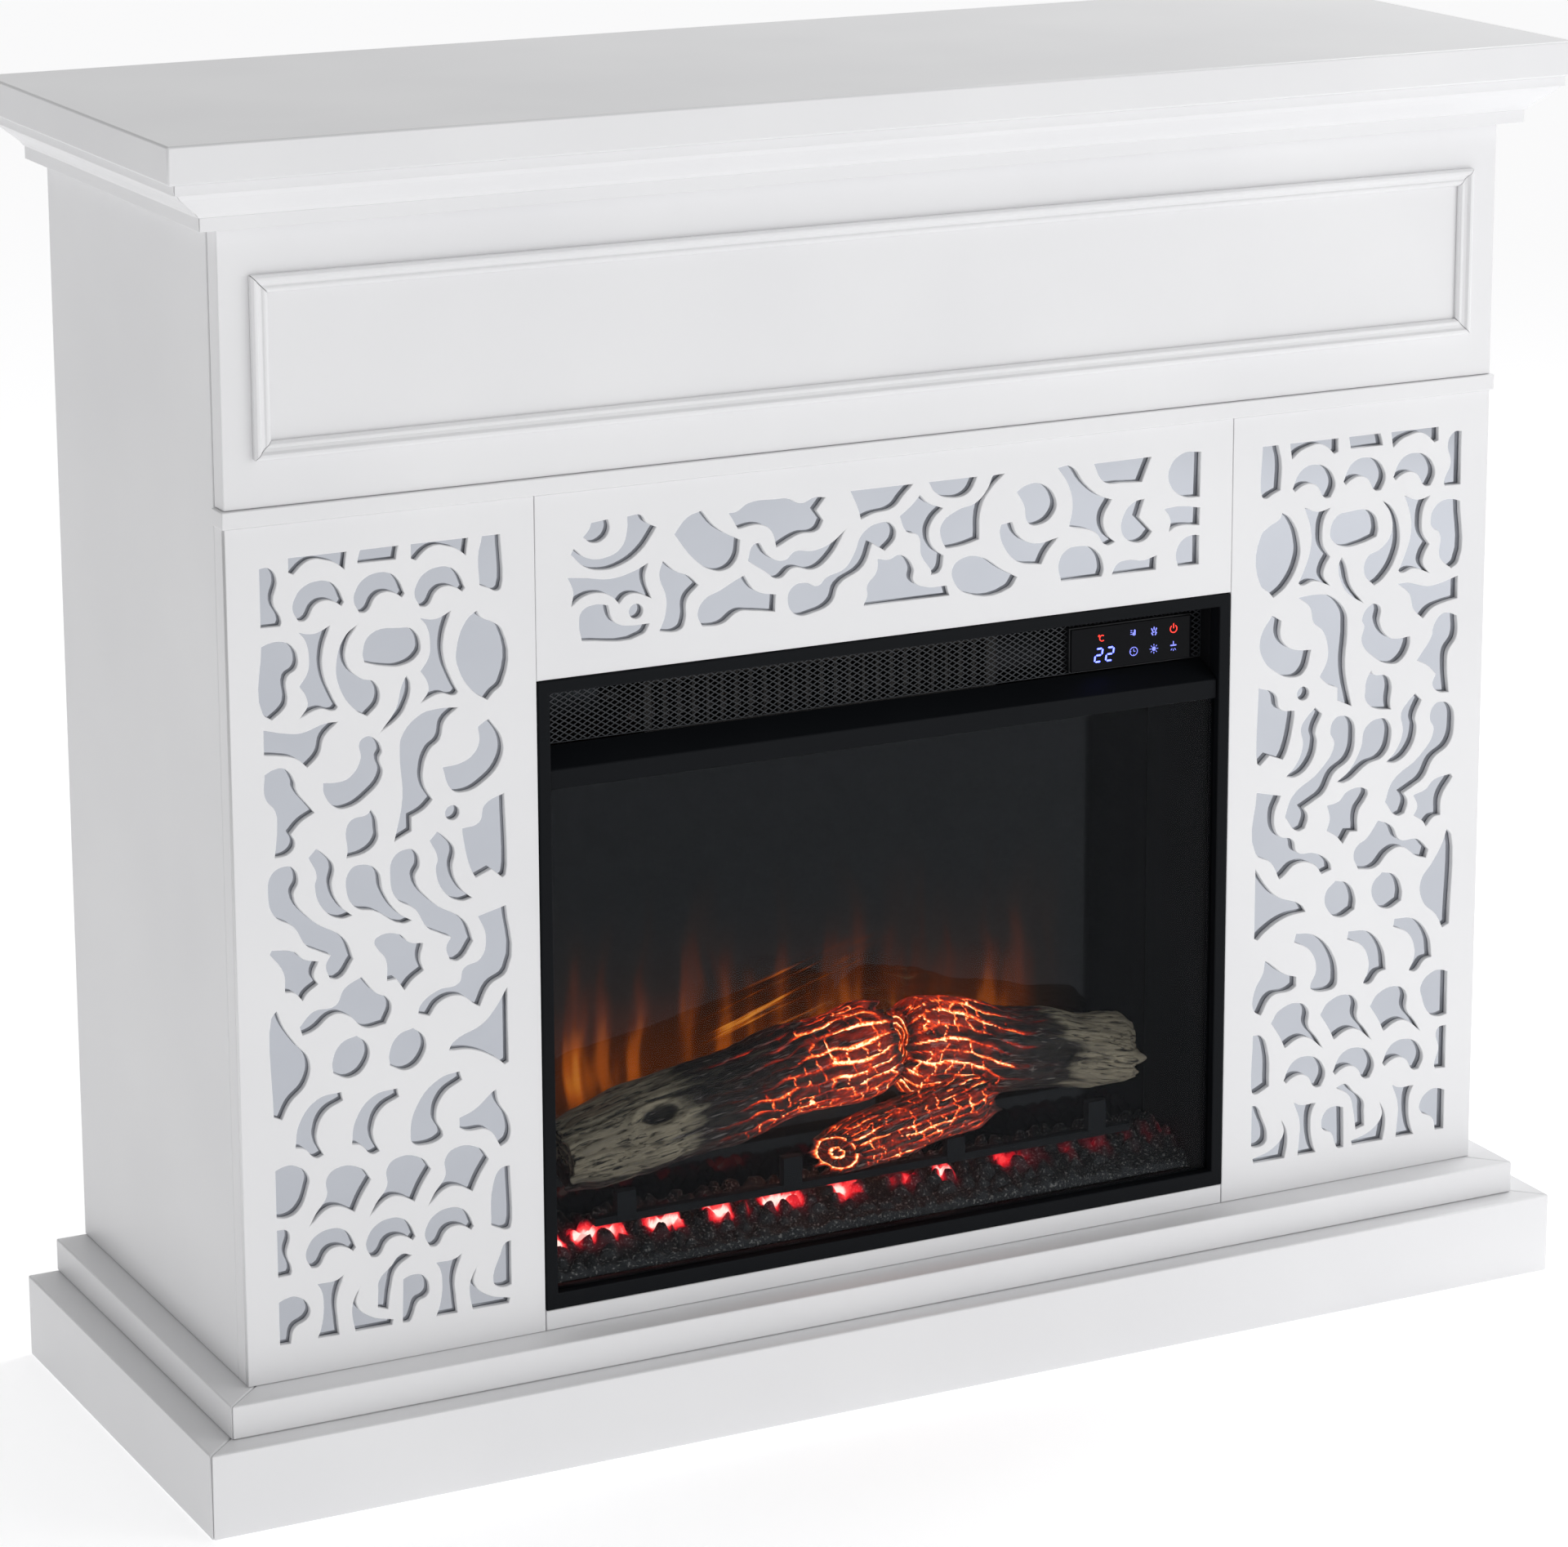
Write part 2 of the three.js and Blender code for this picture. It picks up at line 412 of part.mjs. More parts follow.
    [-423, 133.3], [-420.3, 150.7], [-416, 163.6], [-403.4, 172]] },
  { at: [[0, 0]], points: [[-410.3, 154.3], [-403, 156.4], [-394.6, 154.3], [-390, 142], [-392.4, 138],
    [-399, 135], [-403.4, 125], [-406, 120.7], [-411.4, 120.5], [-411, 135]] },
  { at: [[0, 0]], points: [[-323.5, 169.5], [-328, 168], [-332, 160], [-338, 140], [-336, 136],
    [-328, 133.8], [-323.5, 135]] },
];

const HEADER_OPENINGS = [
  [[-250.8, 710], [-237.5, 711.3], [-236.5, 704], [-241.7, 696.7], [-250.8, 695.3], [-257.3, 700],
    [-252, 706.2]],
  [[-267.2, 688], [-256.7, 678], [-243.3, 674], [-228.3, 675.8], [-211.7, 685], [-198.5, 701.5],
    [-206.7, 705.8], [-210.8, 711.7], [-221.7, 711.7], [-222, 701.7], [-226.7, 689.2], [-238.3, 683],
    [-255, 684.2], [-265, 692]],
  [[-270, 670.8], [-265.8, 660], [-267.5, 649], [-258.3, 655.3], [-245, 657], [-235, 653],
    [-229.2, 647], [-223.3, 652.5], [-215, 653.3], [-203.3, 648.3], [-208.3, 665], [-205.3, 675],
    [-216.7, 670], [-236.7, 666.3], [-256.7, 669.2]],
  [[-261.3, 633.3], [-259.2, 644.2], [-248.3, 648.3], [-238.3, 646.7], [-234.7, 635], [-230, 631.3],
    [-220.8, 629.2], [-204.7, 629.2], [-210, 622], [-259.2, 622]],
  circle(-215.6, 639.6, 5.6),
  [[-193.3, 675.2], [-196.3, 665], [-190.8, 646.7], [-192, 633.3], [-196.7, 622], [-179.2, 622],
    [-175.8, 628.3], [-174.2, 644.2], [-164.7, 653.8], [-172.5, 661.3], [-183.3, 666.3]],
  [[-161.7, 709.7], [-173.3, 705.8], [-183.8, 694.2], [-168.3, 674.2], [-155, 664.7], [-142.5, 663],
    [-133.3, 670], [-130.3, 684.2], [-150, 695.8]],
  [[-139.2, 705.5], [-133.3, 705.8], [-123.3, 711.3], [-100, 712], [-91.7, 711.7], [-79.2, 706.7],
    [-68.3, 710], [-59.2, 709.2], [-67.2, 700], [-61.2, 691.7], [-65.8, 685], [-80.8, 683.7],
    [-100, 675.3], [-104.2, 688.3], [-113.3, 694.2], [-131.7, 692.8]],
  [[-114.2, 680.3], [-119.2, 679.2], [-123.7, 667.5], [-110, 658.3], [-98.7, 651.3], [-86.7, 658.3],
    [-69.2, 655.3], [-56.7, 662.5], [-42.5, 682.5], [-55, 673.3], [-70, 669.2], [-85, 670.3],
    [-93.3, 664.5], [-106.7, 669.2]],
  [[-161.7, 622], [-165.3, 631.7], [-160, 641.7], [-146.7, 647.5], [-135, 653.3], [-127, 656.7],
    [-120.8, 646.7], [-115, 642.5], [-100.8, 639.2], [-101.7, 626.3], [-120, 629.2], [-131.7, 630],
    [-145.8, 622]],
  [[-84.2, 622], [-90.8, 633.3], [-86.7, 643.3], [-75.8, 645.3], [-65.8, 641.7], [-58.3, 647.5],
    [-43.3, 652.5], [-35, 663.3], [-28.3, 677.5], [-15, 684.5], [-3.3, 682.5], [0, 673.3], [-9.2, 663],
    [-20, 670], [-27.5, 653.3], [-48.3, 640.8], [-54.2, 628.3], [-69.2, 622]],
  [[-38, 711.7], [-31.3, 696.7], [-29.3, 689.2], [-20, 692.5], [-1.7, 695.8], [6.7, 704.2],
    [14.7, 711.7]],
  [[-27.2, 622], [-23.8, 630], [-24.2, 636.7], [-15.8, 647.5], [-15, 657], [-5.8, 655.3], [4, 658],
    [15, 646.7], [15, 636.7], [25, 630.8], [43.7, 629.7], [46, 622]],
  [[20.8, 702.5], [14.2, 695.8], [3.7, 688], [9.2, 675.8], [19.2, 671.7], [22, 655.8], [30.8, 641.7],
    [30, 639.8], [37.5, 641.7], [40.8, 653.5], [32.5, 660], [28, 671.7], [31.7, 682.5], [40.3, 690.5],
    [26.7, 696.3]],
  [[28.3, 711.7], [34.2, 703], [46.7, 698], [61.7, 700], [69.7, 711.7]],
  [[83.3, 711.3], [78.3, 700.8], [68.3, 691.3], [53.3, 687.5], [39.2, 677.5], [39.2, 666.7],
    [43.3, 658.8], [58.3, 660], [71.3, 663], [73.3, 688.3], [82.5, 702.5], [93.3, 711.7]],
  [[60.8, 622], [50, 632.5], [49.2, 643.3], [58.3, 649.7], [71.7, 649.2], [93.3, 635.8],
    [104.7, 629.7], [98.3, 622]],
  [[104.2, 696.3], [111.7, 700.3], [124.2, 700.8], [138, 687.5], [136.7, 676.7], [122.5, 668.7],
    [114.2, 671.3], [110.8, 685]],
  [[90.8, 672], [100, 673.3], [105, 662.5], [120, 654.2], [140.3, 656.7], [130.8, 646.7],
    [125.8, 637.5], [105, 642], [94.2, 653.3], [89.7, 666.7]],
  [[140, 711.3], [150.8, 711.7], [163.3, 697], [176.7, 685.8], [187.5, 681.7], [180, 667.5],
    [183.3, 655], [190.8, 648], [183.3, 646.3], [173.3, 657.5], [150.3, 664.2], [153.3, 681.7],
    [149.2, 697.5]],
  [[143.7, 622], [141.3, 635], [146.7, 645], [158.3, 647.8], [173.3, 643.3], [180.8, 628.3],
    [179.2, 622]],
  [[171.7, 711.3], [180.8, 696.3], [196.7, 694.2], [214.2, 693], [222.5, 711.7]],
  [[216.7, 679.2], [206.7, 677], [198.3, 667.5], [197, 655], [205, 646.7], [216.7, 646.3],
    [223.7, 652.5], [211.7, 665]],
  [[188.3, 622], [193.3, 630], [202.5, 632], [216.7, 630.3], [228.3, 633], [227.5, 622]],
  [[267, 711.3], [250, 711.3], [239.2, 700.8], [240, 687.5], [251.7, 677.5], [266.3, 675.8]],
  [[235, 669.2], [250, 669.7], [266.7, 667], [266.3, 653.3], [245, 654.2], [239.2, 650.8],
    [240.5, 660]],
  [[248, 622], [245.8, 631.7], [250.8, 642], [261.7, 645.7], [266.4, 644.7], [266.3, 622]],
];

// Stretches a drawn point from the field it was drawn in to the field of a panel.
function fitted(points, drawn, field, shift = [0, 0]) {
  const scaleX = (field.right - field.left) / (drawn.right - drawn.left);
  const scaleZ = (field.top - field.bottom) / (drawn.top - drawn.bottom);
  return points.map(([x, z]) => [
    field.left + (x + shift[0] - drawn.left) * scaleX,
    field.bottom + (z + shift[1] - drawn.bottom) * scaleZ,
  ]);
}

// One framed panel: a fret sheet over a mirror sheet, both seated on a rebated fascia board.
function fretPanel(name, edge, openings) {
  const fretBack = BODY_Y + FRET.thickness;
  const fasciaFront = fretBack + GAP;
  const mirrorBack = fasciaFront + FRET.mirror;
  add(`fret_panel_${name}`,
    plate(rectangle(edge.left, edge.right, edge.bottom, edge.top), openings, fretBack, FRET.thickness),
    WHITE_PAINT);
  const rebate = { left: edge.left + FRET.rim, right: edge.right - FRET.rim,
    bottom: edge.bottom + FRET.rim, top: edge.top - FRET.rim };
  add(`mirror_${name}`, block([rebate.left + GAP, rebate.right - GAP], [fasciaFront, mirrorBack],
    [rebate.bottom + GAP, rebate.top - GAP]), MIRROR);
  add(`fascia_${name}`, cut(
    block([edge.left, edge.right], [fasciaFront, FASCIA_BACK], [edge.bottom, edge.top]),
    block([rebate.left, rebate.right], [fasciaFront - 1, mirrorBack + GAP], [rebate.bottom, rebate.top])),
  RAW_BOARD);
}

function fretwork() {
  const left = { left: -BODY_X, right: -INSERT_X - GAP, bottom: BODY_BOTTOM, top: BELT_BOTTOM };
  const field = { left: left.left + SIDE_MARGIN.outer, right: left.right - SIDE_MARGIN.inner,
    bottom: left.bottom + SIDE_MARGIN.bottom, top: left.top - SIDE_MARGIN.top };
  const openings = SIDE_OPENINGS.flatMap(({ at, points }) =>
    at.map((shift) => fitted(points, SIDE_FIELD, field, shift)));
  fretPanel("left", left, openings);
  const right = { ...left, left: -left.right, right: -left.left };
  fretPanel("right", right, openings.map((points) => points.map(([x, z]) => [-x, z])));
  const header = { left: -INSERT_X, right: INSERT_X, bottom: INSERT_TOP + GAP, top: BELT_BOTTOM };
  const band = { left: header.left + HEADER_MARGIN.outer, right: header.right - HEADER_MARGIN.inner,
    bottom: header.bottom + HEADER_MARGIN.bottom, top: header.top - HEADER_MARGIN.top };
  fretPanel("header", header, HEADER_OPENINGS.map((points) => fitted(points, HEADER_FIELD, band)));
}

// ---------------------------------------------------------------- insert: shell and front
function insertShell() {
  const bezelBack = BODY_Y + BEZEL.depth;
  add("bezel_frame", plate(
    rectangle(-INSERT_X + GAP, INSERT_X - GAP, INSERT_BOTTOM, INSERT_TOP - GAP),
    [rectangle(-INSERT_X + BEZEL.side, INSERT_X - BEZEL.side, INSERT_BOTTOM + BEZEL.bottom,
      INSERT_TOP - BEZEL.side)], bezelBack, BEZEL.depth + BEZEL.proud), BLACK_STEEL);
  const inner = CASE_X - CASE.sheet;
  add("case_wrap", cut(
    block([-CASE_X, CASE_X], [CASE_FRONT, CASE_BACK], [CASE_FLOOR, CASE_TOP - CASE.sheet - GAP]),
    block([-inner, inner], [CASE_FRONT - 1, CASE_BACK + 1], [CASE_FLOOR + CASE.sheet, CASE_TOP])),
  BLACK_STEEL);
  add("case_top", block([-CASE_X, CASE_X], [CASE_FRONT, CASE_BACK], [CASE_TOP - CASE.sheet, CASE_TOP]),
    BLACK_STEEL);
  const rockerHole = rectangle(ROCKER_X - ROCKER.width / 2 - 3.5, ROCKER_X + ROCKER.width / 2 + 3.5,
    ROCKER_Z - ROCKER.height / 2 - 3.5, ROCKER_Z + ROCKER.height / 2 + 3.5);
  const glandHole = circle(CORD_X, CORD_Z, GLAND.neck + GAP, 16);
  add("case_back", plate(rectangle(-CASE_X, CASE_X, CASE_FLOOR, CASE_TOP), [rockerHole, glandHole],
    CASE_BACK + GAP + CASE.sheet, CASE.sheet), GREY_STEEL);
}

// The sloped outlet hood: a lip over the glass and a ledge that falls forward from the grille.
function outlet() {
  const hoodX = INSERT_X - BEZEL.side - 2 * GAP;
  const face = BODY_Y + 2;
  const grilleY = face + HOOD.set;
  const wall = 1.5;
  add("outlet_hood", bar([
    [face, LIP_Z], [face, LIP_Z - HOOD.band], [face + 5, LIP_Z - HOOD.band],
    [face + 5, LIP_Z - 5], [grilleY, LEDGE_Z - 4], [grilleY, LEDGE_Z - wall / 2],
  ], [-hoodX, hoodX]), BLACK_STEEL);
  const grilleTop = INSERT_TOP - BEZEL.side - GAP;
  const slots = [];
  const pitch = 17;
  const rows = [[LEDGE_Z + 4, LEDGE_Z + 17], [LEDGE_Z + 20, grilleTop - 4]];
  for (let x = -hoodX + 10; x + pitch < CONTROL_X[0] - 6; x += pitch) {
    for (const [low, high] of rows) {
      slots.push(rectangle(x, x + pitch - 4, low, high));
    }
  }
  add("outlet_grille", plate(rectangle(-hoodX, hoodX, LEDGE_Z, grilleTop), [
    ...slots, rectangle(CONTROL_X[0] - GAP, CONTROL_X[1] + GAP, CONTROL_Z[0], CONTROL_Z[1] + GAP),
  ], grilleY + 1, 1), BLACK_STEEL);
  const back = grilleY + 18;
  add("control_housing", cut(
    block([CONTROL_X[0], CONTROL_X[1]], [grilleY - 3, back], [CONTROL_Z[0] + GAP, CONTROL_Z[1]]),
    block([CONTROL_X[0] + 1.5, CONTROL_X[1] - 1.5], [grilleY - 1, back + 1],
      [CONTROL_Z[0] + 1.8, CONTROL_Z[1] - 1.5]),
    block([CONTROL_X[0] + 4, CONTROL_X[1] - 4], [grilleY - 5, grilleY],
      [CONTROL_Z[0] + 4, CONTROL_Z[1] - 4])),
  BLACK_PLASTIC);
  add("control_lens", block([CONTROL_X[0] + 1, CONTROL_X[1] - 1], [grilleY - 4.8, grilleY - 3.3],
    [CONTROL_Z[0] + 1, CONTROL_Z[1] - 1]), SMOKED_GLASS);
  add("control_board", block([CONTROL_X[0] + 3, CONTROL_X[1] - 3], [grilleY + 4, grilleY + 5.6],
    [CONTROL_Z[0] + 3, CONTROL_Z[1] - 3]), BOARD_GREEN);
  add("glass_pane", block([-hoodX, hoodX], [face + 3, face + 3 + GLASS.thickness],
    [INSERT_BOTTOM + BEZEL.bottom + GAP, GLASS_TOP]), SMOKED_GLASS);
}

// ---------------------------------------------------------------- insert: log set and flames
// A log is a bent, tapering round bar with broken ends, `sides` flats round and a ring at each
// station. A station is [along, radius, lift]; `from` and `to` are the ends of its centre line.
function logShape(from, to, stations, sides) {
  const start = new THREE.Vector3(...from);
  const axis = new THREE.Vector3(...to).sub(start);
  const length = axis.length();
  const up = new THREE.Vector3(0, 1, 0);
  const turn = new THREE.Quaternion().setFromUnitVectors(up, axis.clone().normalize());
  const profile = [[0, 0], ...stations.map(([along, radius]) => [radius, along * length]), [0, length]];
  const geometry = new THREE.LatheGeometry(profile.map(([r, a]) => new THREE.Vector2(r, a)), sides);
  geometry.applyQuaternion(turn).translate(...from);
  const points = geometry.getAttribute("position");
  const point = new THREE.Vector3();
  for (let i = 0; i < points.count; i += 1) {
    point.fromBufferAttribute(points, i);
    const along = point.clone().sub(start).dot(axis) / (length * length);
    const next = Math.max(1, stations.findIndex(([a]) => a >= along - 1e-6));
    const [a0, , lift0] = stations[next - 1];
    const [a1, , lift1] = stations[next];
    const share = THREE.MathUtils.clamp((along - a0) / (a1 - a0), 0, 1);
    points.setZ(i, point.z + lift0 + (lift1 - lift0) * share);
  }
  return geometry;
}

const BED_TOP = CASE_FLOOR + 32;
const LOG_Y = BODY_Y + 60;

// Places along the log set are shares of half the case's width.
const caseShare = (share) => share * CASE_X;

// The stub lies in a hollow of the right log, so its shape is cut from that log with clearance.
function logSet() {
  const meet = caseShare(0.0889);
  const beyond = (from, to) => block([from, to], [FRONT_Y, WALL_Y], [0, HEIGHT]);
  add("log_left", cut(logShape([caseShare(-0.892), LOG_Y, CASE_FLOOR + 91.5],
    [caseShare(0.066), LOG_Y - 4, CASE_FLOOR + 141.5], [
      [0, 27, 0], [0.08, 31, 0], [0.25, 36, 2], [0.55, 36, 2], [0.8, 37, 0], [0.96, 38, 2], [1, 34, 4],
    ], 14), beyond(meet - GAP, CASE_X)), RESIN_LOG);
  const stub = (clearance) => logShape([caseShare(-0.118) - clearance, BODY_Y + 35.5, CASE_FLOOR + 65],
    [caseShare(0.35) + clearance, BODY_Y + 37, CASE_FLOOR + 95 + clearance], [
      [0, 16, 0], [0.08, 19.5, 0], [0.5, 23, 0], [0.85, 24, 0], [1, 18, 0],
    ].map(([share, radius, lift]) => [share, radius + clearance, lift]), 12);
  add("log_right", cut(logShape([caseShare(0.108), LOG_Y + 1, CASE_FLOOR + 135.5],
    [caseShare(0.847), LOG_Y, CASE_FLOOR + 97.5], [
      [0, 28, 0], [0.08, 38, 4], [0.3, 36, 2], [0.6, 33, 2], [0.8, 28, 0], [0.95, 26, -1], [1, 22, -1],
    ], 14), stub(1), beyond(-CASE_X, meet + GAP)), RESIN_LOG);
  add("log_stub", stub(0), RESIN_LOG);
}

// The ember bed is one moulded shell whose top is heaped into lumps.
function emberBed() {
  const x = [-CASE_X + 8, CASE_X - 8];
  const y = [BODY_Y + 18, SCREEN_Y - 6];
  const cells = [34, 8];
  const shape = new THREE.BoxGeometry(x[1] - x[0], y[1] - y[0], 1, cells[0], cells[1], 1);
  const points = shape.getAttribute("position");
  for (let i = 0; i < points.count; i += 1) {
    const px = points.getX(i) + (x[0] + x[1]) / 2;
    const py = points.getY(i) + (y[0] + y[1]) / 2;
    const back = (py - y[0]) / (y[1] - y[0]);
    const fine = 3.4 * Math.sin(px * 0.11 + 2.1 * Math.sin(py * 0.13));
    const lump = fine + 2.6 * Math.sin(px * 0.047 + py * 0.21);
    const top = CASE_FLOOR + 15 + 17 * Math.sin(back * Math.PI * 0.5) + lump * Math.min(1, 4 * back);
    points.setXYZ(i, px, py, points.getZ(i) > 0 ? top : CASE_FLOOR + 9);
  }
  add("ember_bed", shape, RESIN_EMBER);
}

// The grate's front bar carries four upright fingers that hold the logs.
function grate() {
  const y = [BODY_Y + 42, BODY_Y + 50];
  const bottom = BED_TOP + 6;
  const posts = [[-0.728, 62.5], [-0.233, 66], [0.268, 58], [0.714, 67.5]];
  const pieces = posts.map(([share, rise]) =>
    block([caseShare(share) - 8, caseShare(share) + 8], y, [bottom, CASE_FLOOR + rise]));
  const rail = block([caseShare(-0.819), caseShare(0.819)], [y[0] + 0.5, y[1] - 0.5], [bottom, bottom + 6]);
  add("grate", join(rail, ...pieces), BLACK_STEEL);
}

function flameParts() {
  add("flame_screen", block([-CASE_X + 3, CASE_X - 3], [SCREEN_Y, SCREEN_Y + SCREEN.thickness],
    [CASE_FLOOR + 3, LIP_Z - SCREEN.belowLip]), SMOKED_GLASS);
  add("led_board_ember", block([-CASE_X + 30, CASE_X - 30], [BODY_Y + 40, BODY_Y + 66],
    [CASE_FLOOR + 3, CASE_FLOOR + 4.6]), BOARD_GREEN);
  const axisY = SCREEN_Y + ROTOR.behindScreen;
  const axisZ = CASE_FLOOR + ROTOR.aboveFloor;
  const start = -CASE_X + 26;
  const length = 2 * CASE_X - ROTOR.endRoom;
  const flags = [];
  const flagPitch = (length - 30) / ROTOR.flags;
  for (let i = 0; i < ROTOR.flags; i += 1) {
    const flag = new THREE.BoxGeometry(flagPitch - 6, ROTOR.radius, 1.2).translate(0, ROTOR.radius / 2, 0);
    const turn = (i * 5 * Math.PI) / 7;
    flags.push(flag.rotateX(turn).translate(start + 22 + flagPitch * (i + 0.5), axisY, axisZ));
  }
  add("flame_rotor", join(rodAlongX(ROTOR.shaft, [start, start + length], axisY, axisZ, 10), ...flags),
    ALUMINIUM);
  add("rotor_bearing", cut(
    block([start + 3, start + 9], [axisY - 14, axisY + 14], [CASE_FLOOR + CASE.sheet + GAP, axisZ + 14]),
    rodAlongX(ROTOR.shaft + 0.4, [start, start + 12], axisY, axisZ, 10)), BLACK_PLASTIC);
  const motorX = start + length + GAP;
  add("rotor_motor", join(
    rodAlongX(21, [motorX, motorX + 17], axisY, axisZ, 20),
    block([motorX + 3, motorX + 9], [axisY - 12, axisY + 12], [CASE_FLOOR + CASE.sheet + GAP, axisZ])),
  GREY_STEEL);
  add("led_board_flame", block([-CASE_X + 30, CASE_X - 30], [axisY - 42, axisY - 18],
    [CASE_FLOOR + 6, CASE_FLOOR + 7.6]), BOARD_GREEN);
}

// ---------------------------------------------------------------- insert: heater
function heater() {
  const axisY = CASE_FRONT + BLOWER.behindFront;
  const axisZ = INSERT_TOP - BLOWER.belowTop;
  const x0 = -CASE_X + BLOWER.fromLeft;
  const hub = 1.5;
  const disc = (x) => rodAlongX(BLOWER.radius, [x, x + hub], axisY, axisZ, 24);
  const blades = [];
  for (let i = 0; i < BLOWER.blades; i += 1) {
    const blade = new THREE.BoxGeometry(BLOWER_LENGTH, BLOWER.bladeSheet, BLOWER.bladeDepth);
    blade.rotateX(BLOWER.bladePitch).translate(0, 0, BLOWER.radius - BLOWER.bladeSet);
    const turn = (2 * Math.PI * i) / BLOWER.blades;
    blades.push(blade.rotateX(turn).translate(x0 + BLOWER_LENGTH / 2, axisY, axisZ));
  }
  add("blower_wheel", join(
    disc(x0), disc(x0 + BLOWER_LENGTH / 2), disc(x0 + BLOWER_LENGTH - hub), ...blades,
    rodAlongX(BLOWER.shaft, [x0 - 12, x0 + hub], axisY, axisZ, 10),
    rodAlongX(BLOWER.shaft, [x0 + BLOWER_LENGTH - hub, x0 + BLOWER_LENGTH + 14], axisY, axisZ, 10)),
  ALUMINIUM);
  const reach = BLOWER.radius + 3;
  const wall = 1.2;
  const outer = [];
  const inside = [];
  for (let i = 0; i <= 9; i += 1) {
    const turn = -0.35 * Math.PI + (i * 1.2 * Math.PI) / 9;
    outer.push([axisY + (reach + wall) * Math.cos(turn), axisZ + (reach + wall) * Math.sin(turn)]);
    inside.unshift([axisY + reach * Math.cos(turn), axisZ + reach * Math.sin(turn)]);
  }
  add("blower_housing", bar([...outer, ...inside], [x0 - 4, x0 + BLOWER_LENGTH + 4]), GREY_STEEL);
  const motorX = x0 + BLOWER_LENGTH + 14 + GAP;
  add("blower_motor", join(
    rodAlongX(22, [motorX, motorX + 44], axisY, axisZ, 20),
    block([motorX + 8, motorX + 36], [axisY - 12, axisY + 12], [axisZ, CASE_TOP - CASE.sheet - GAP])),
  GREY_STEEL);
  const fins = [];
  const pitch = 12;
  for (let x = x0 + 6; x < x0 + BLOWER_LENGTH - 8; x += pitch) {
    fins.push(rectangle(x, x + pitch - 2.5, axisZ - 18, axisZ + 18));
  }
  add("heating_element", plate(rectangle(x0, x0 + BLOWER_LENGTH, axisZ - 24, axisZ + 24), fins,
    CASE_FRONT + 42, 14), ALUMINIUM);
}

// ---------------------------------------------------------------- insert: rear
function rear() {
  const panel = CASE_BACK + GAP;
  const profile = [
    [GLAND.bore, 0], [GLAND.neck, 0], [GLAND.neck, 6 + CASE.sheet], [GLAND.flange, 6 + CASE.sheet],
    [GLAND.flange, 10 + CASE.sheet], [GLAND.neck + 1.5, 22], [GLAND.bore, 22], [GLAND.bore, 0],
  ];
  const gland = new THREE.LatheGeometry(profile.map(([r, a]) => new THREE.Vector2(r, a)), 16);
  add("cord_gland", gland.translate(CORD_X, panel - 6 + GAP, CORD_Z), BLACK_PLASTIC);
  const half = ROCKER.width / 2 + ROCKER.travelClearance;
  const tall = ROCKER.height / 2 + ROCKER.travelClearance;
  add("rocker_body", cut(
    join(
      block([ROCKER_X - half - 2, ROCKER_X + half + 2], [panel - 14, panel + 1],
        [ROCKER_Z - tall - 2, ROCKER_Z + tall + 2]),
      block([ROCKER_X - half - 5, ROCKER_X + half + 5],
        [panel + CASE.sheet + GAP, panel + CASE.sheet + GAP + 2],
        [ROCKER_Z - tall - 5, ROCKER_Z + tall + 5]),
      block([ROCKER_X - half - 2, ROCKER_X + half + 2], [panel, panel + CASE.sheet + 1],
        [ROCKER_Z - tall - 2, ROCKER_Z + tall + 2])),
    block([ROCKER_X - half, ROCKER_X + half], [panel - 6, panel + 10], [ROCKER_Z - tall, ROCKER_Z + tall])),
  BLACK_PLASTIC);
  const reach = ROCKER.height / 2;
  const rocker = bar([
    [PIVOT_Y - 3, ROCKER_Z - reach + 2], [PIVOT_Y + 1.5, ROCKER_Z - reach],
    [PIVOT_Y + 3.4, ROCKER_Z - reach + 0.4], [PIVOT_Y + 1.9, ROCKER_Z],
    [PIVOT_Y + 3.4, ROCKER_Z + reach - 0.4], [PIVOT_Y + 1.5, ROCKER_Z + reach],
    [PIVOT_Y - 3, ROCKER_Z + reach - 2],
  ], [ROCKER_X - ROCKER.width / 2, ROCKER_X + ROCKER.width / 2]);
  rocker.translate(0, -PIVOT_Y, -ROCKER_Z).rotateX(-ROCKER.tilt).translate(0, PIVOT_Y, ROCKER_Z);
  add("power_rocker", rocker, BLACK_PLASTIC);
}

plinthAndStep();
mantelTop();
crown();
bodyBoards();
friezeTrim();
fretwork();
insertShell();
outlet();
logSet();
emberBed();
grate();
flameParts();
heater();
rear();

export default fireplace;
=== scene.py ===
# %% [markdown]
# # A white mantel with an electric fireplace insert
# The mantel is painted MDF boards with a mitred crown, a framed frieze and fretwork panels
# laid over mirror strips. The insert is a black steel case with resin logs, an ember bed,
# a flame screen, a fan heater behind a mesh and a small touch display.
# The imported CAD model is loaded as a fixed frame, and every piece here takes its place from it.

# %% Load the frame
import math
import random

import bmesh
import bpy
from mathutils import Matrix, Vector, bvhtree, noise


